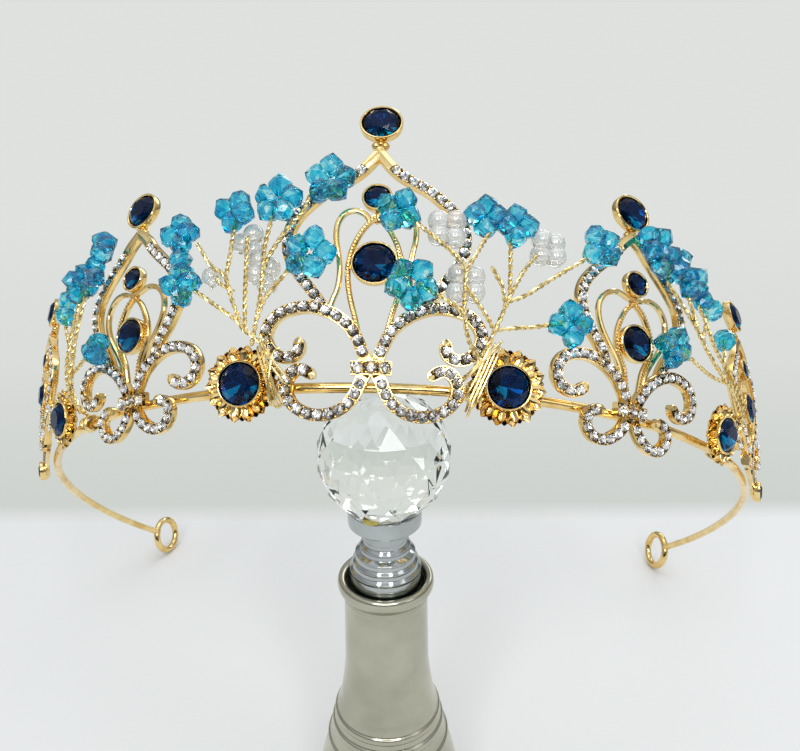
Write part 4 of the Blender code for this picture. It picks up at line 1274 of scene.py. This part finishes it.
def cluster(name, rings, round_beads):
    """The beads or pearls of one cluster, and the fine wire that holds them."""
    chance = random.Random(SEED + sum(map(ord, name)))
    shape = Shape()
    threads = Shape()
    for ring in rings:
        places = ring_places(*ring)
        for middle, axis, front in places:
            if round_beads:
                add_lathe(shape, PEARL_PROFILE, middle, axis, front, 28)
            else:
                add_cut_bead(shape, middle, axis, front, chance)
        add_thread(threads, places)
    material = PEARL if round_beads else AQUA
    make_piece(f"{name}_drops", shape, [material], [name], 60.0)
    make_piece(f"{name}_thread", threads, [WIRE_GOLD], ())


# band and stand

def band():
    """The rod and its end loops, a little finer than the solid so that they stay inside its box."""
    shape = Shape()
    along = np.linspace(-BAND_LENGTH, BAND_LENGTH, 361)
    x, y = on_curve(along, BAND_X, BAND_Y)
    rod = posed(x, y, np.zeros_like(along)) + ROD_MIDDLE
    add_tube(shape, rod, ROD_RADIUS * ROD_FINENESS, 20)
    angle = 2 * np.pi * np.arange(72) / 72
    for hand in (-1.0, 1.0):
        tangent = np.array([-NORMAL_Y[-1] * hand, NORMAL_X[-1]])
        centre = np.array([hand * BAND_X[-1], BAND_Y[-1]]) + tangent * LOOP_RADIUS
        ring = posed(centre[0] + tangent[0] * LOOP_RADIUS * np.cos(angle),
                     centre[1] + tangent[1] * LOOP_RADIUS * np.cos(angle),
                     LOOP_RADIUS * np.sin(angle)) + ROD_MIDDLE
        add_tube(shape, ring, LOOP_WIRE * LOOP_FINENESS, 18, closed=True)
    make_piece("band_rod", shape, [GOLD], ["band"])


def crystal_ball():
    """A glass ball cut in rows of triangles."""
    shape = Shape()
    sides, rows = BALL_SIDES, BALL_ROWS
    points = [(0.0, 0.0, BALL_RADIUS)]
    for row in range(1, rows):
        polar = math.pi * row / rows
        points += ring_points(sides, BALL_RADIUS * math.sin(polar), BALL_RADIUS * math.cos(polar),
                              (row % 2) * math.pi / sides)
    points.append((0.0, 0.0, -BALL_RADIUS))
    faces = [(0, 1 + index, 1 + (index + 1) % sides) for index in range(sides)]
    for row in range(1, rows - 1):
        base, low = 1 + (row - 1) * sides, 1 + row * sides
        for index in range(sides):
            after = (index + 1) % sides
            if row % 2:
                faces.append((base + index, low + after, base + after))
                faces.append((base + index, low + index, low + after))
            else:
                faces.append((base + index, low + index, base + after))
                faces.append((base + after, low + index, low + after))
    last = 1 + (rows - 2) * sides
    faces += [(last + index, len(points) - 1, last + (index + 1) % sides) for index in range(sides)]
    chance = random.Random(SEED)
    points = np.array(points) + BALL_CENTRE_HEIGHT * UPWARD
    shape.add(points, faces, 0, False, [chance.random() for _ in faces])
    make_piece("ball_cut", shape, [BALL_GLASS], ["crystal_ball"])


def glue_spot():
    """The flat drop of glue that shows under the ball."""
    shape = Shape()
    profile = [(0.0, -0.40), (1.2, -0.30), (1.7, 0.0), (1.2, 0.30), (0.0, 0.40)]
    add_lathe(shape, profile, np.array(GLUE_PLACE) + BALL_TOP * UPWARD, UPWARD, SIDEWAYS, 24)
    make_piece("ball_glue", shape, [GLUE])


def eased(profile, ease):
    """A turning profile with its corners cut back a little, twice, so that they catch the light."""
    rows = [profile[0]]
    for before, here, after in zip(profile, profile[1:], profile[2:]):
        to_before = math.dist(before, here)
        to_after = math.dist(here, after)
        cut = min(ease, to_before * 0.4, to_after * 0.4)
        if cut < 0.02:
            rows.append(here)
            continue
        start = [here[axis] + (before[axis] - here[axis]) * cut / to_before for axis in (0, 1)]
        end = [here[axis] + (after[axis] - here[axis]) * cut / to_after for axis in (0, 1)]
        middle = [(start[axis] + end[axis] + 2 * here[axis]) / 4 for axis in (0, 1)]
        rows += [tuple(start), tuple(middle), tuple(end)]
    rows.append(profile[-1])
    return rows


def ringed(profile, first, last, pitch=1.7, depth=0.14):
    """A turning profile with fine turned rings between two depths."""
    rings = []
    above = [row for row in profile if row[1] < first]
    below = [row for row in profile if row[1] > last]
    radii, places = zip(*profile[len(above) - 1:-1])
    for place in np.arange(first, last, pitch):
        radius = float(np.interp(place, places, radii))
        rings.append((radius, place))
        rings.append((radius - depth, place + pitch * 0.3))
        rings.append((radius - depth * 0.4, place + pitch * 0.7))
    return above + rings + below


def turned(name, profile, ease, sides, material, node):
    """A piece turned round the stand's axis; profile rows are (radius, height)."""
    shape = Shape()
    add_lathe(shape, eased(profile, ease), np.zeros(3), UPWARD, SIDEWAYS, sides)
    make_piece(name, shape, [material], [node], 50.0)


def stand():
    stopper = [(radius, BALL_TOP - depth) for radius, depth in ringed(STOPPER_PROFILE, 29.0, 37.0)]
    turned("stopper_turned", stopper, 0.12, 72, CHROME, "stopper")
    post = [(radius, BALL_TOP - depth) for radius, depth in POST_PROFILE] + POST_FOOT
    turned("post_turned", post, 0.6, 96, NICKEL, "post")


# surroundings

def floor():
    """A pale table that turns behind the object into a painted wall: an emission glowing in the wall's tones,
    darker near the table's edge, instead of a lit surface.
    """
    mesh = bpy.data.meshes.new("floor")
    corners = [(-1, -1), (1, -1), (1, 1), (-1, 1)]
    mesh.from_pydata([(x * FLOOR_REACH, y * FLOOR_REACH, 0) for x, y in corners], [], [(0, 1, 2, 3)])
    material, tree, shader = new_material(
        "table_white", Roughness=0.55, Specular_IOR_Level=0.25, Base_Color=TABLE_COLOUR)
    place = add_node(tree, "NewGeometry").outputs["Position"]
    away = add_node(tree, "VectorMath", [(0, place)], ("operation", "DOT_PRODUCT"))
    turn = math.radians(CAMERA_YAW)
    away.inputs[1].default_value = (-math.sin(turn), math.cos(turn), 0.0)
    away = away.outputs["Value"]
    edge = map_range(tree, away, From_Min=TABLE_EDGE, From_Max=TABLE_EDGE + TABLE_BLUR)
    far = map_range(tree, away, From_Min=WALL_NEAR, From_Max=WALL_FAR)
    wall = ramp(tree, far, [(0.0, WALL_LOW), (0.3, WALL_MIDDLE), (1.0, WALL_HIGH)])
    # painted light: beyond the table's edge the floor glows as an emission in the wall's tones, darker
    # towards the edge, rather than being lit
    painted_wall_glow = add_node(tree, "Emission", [("Color", wall)]).outputs["Emission"]
    mix = add_node(tree, "MixShader", [("Fac", edge), (1, shader.outputs["BSDF"]), (2, painted_wall_glow)])
    tree.links.new(mix.outputs["Shader"], tree.nodes["Material Output"].inputs["Surface"])
    mesh.materials.append(material)
    new_object("floor", mesh)


def lights():
    for name, (place, size, power, aim_height) in LIGHTS.items():
        data = bpy.data.lights.new(name, "AREA")
        data.shape = "RECTANGLE"
        data.size, data.size_y = size
        data.energy = power
        light = new_object(name, data)
        light.location = place
        aim = Vector((0.0, 0.0, aim_height)) - Vector(place)
        light.rotation_euler = aim.to_track_quat("-Z", "Y").to_euler()
        light.visible_camera = False


def world():
    """A pale backdrop for what is seen, and a room with a dark front and bright top for reflections."""
    surroundings = bpy.data.worlds.new("surroundings")
    bpy.context.scene.world = surroundings
    surroundings.use_nodes = True
    tree = surroundings.node_tree
    place = add_node(tree, "TexCoord").outputs["Generated"]
    split = add_node(tree, "SeparateXYZ", [("Vector", place)]).outputs
    room = ramp(tree, map_range(tree, split["Z"], From_Min=-0.2), ROOM_BY_HEIGHT)
    front = map_range(tree, split["Y"], From_Min=-0.96, From_Max=-0.70, To_Min=0.12)
    dimmed = add_node(tree, "VectorMath", [("Vector", room), ("Scale", front)], ("operation", "SCALE"))
    rays = add_node(tree, "LightPath").outputs
    either = [(0, rays["Is Camera Ray"]), (1, rays["Is Transmission Ray"])]
    seen = add_node(tree, "Math", either, ("operation", "MAXIMUM")).outputs["Value"]
    mix = add_node(tree, "Mix", [("Factor", seen), ("A", dimmed.outputs["Vector"])], ("data_type", "RGBA"),
                   B=(*WALL_HIGH, 1.0))
    tree.links.new(mix.outputs["Result"], tree.nodes["Background"].inputs["Color"])


def camera():
    data = bpy.data.cameras.new("camera")
    data.lens = CAMERA_LENS
    data.sensor_width = CAMERA_SENSOR
    data.clip_start, data.clip_end = 0.005, 50.0
    item = new_object("camera", data)
    turn = (Matrix.Rotation(math.radians(CAMERA_YAW), 4, "Z")
            @ Matrix.Rotation(math.radians(90.0 - CAMERA_PITCH), 4, "X")
            @ Matrix.Rotation(math.radians(CAMERA_ROLL), 4, "Z"))
    place = (Vector(ROD_MIDDLE) + CAMERA_FROM_ROD) * MM
    item.matrix_world = Matrix.Translation(place) @ turn
    bpy.context.scene.camera = item


def main():
    camera()
    band()
    for name, row in PANELS.items():
        panel(name, *row)
    for name, row in ROSETTES.items():
        rosette(name, *row)
    for name, (coils, branches) in WIRE_SPRAYS.items():
        wire_spray(name, coils, branches)
    for name, rings in BEAD_CLUSTERS.items():
        cluster(name, rings, False)
    for name, rings in PEARL_CLUSTERS.items():
        cluster(name, rings, True)
    crystal_ball()
    glue_spot()
    stand()
    floor()
    lights()
    world()
    bpy.context.scene.view_settings.view_transform = "Standard"


main()
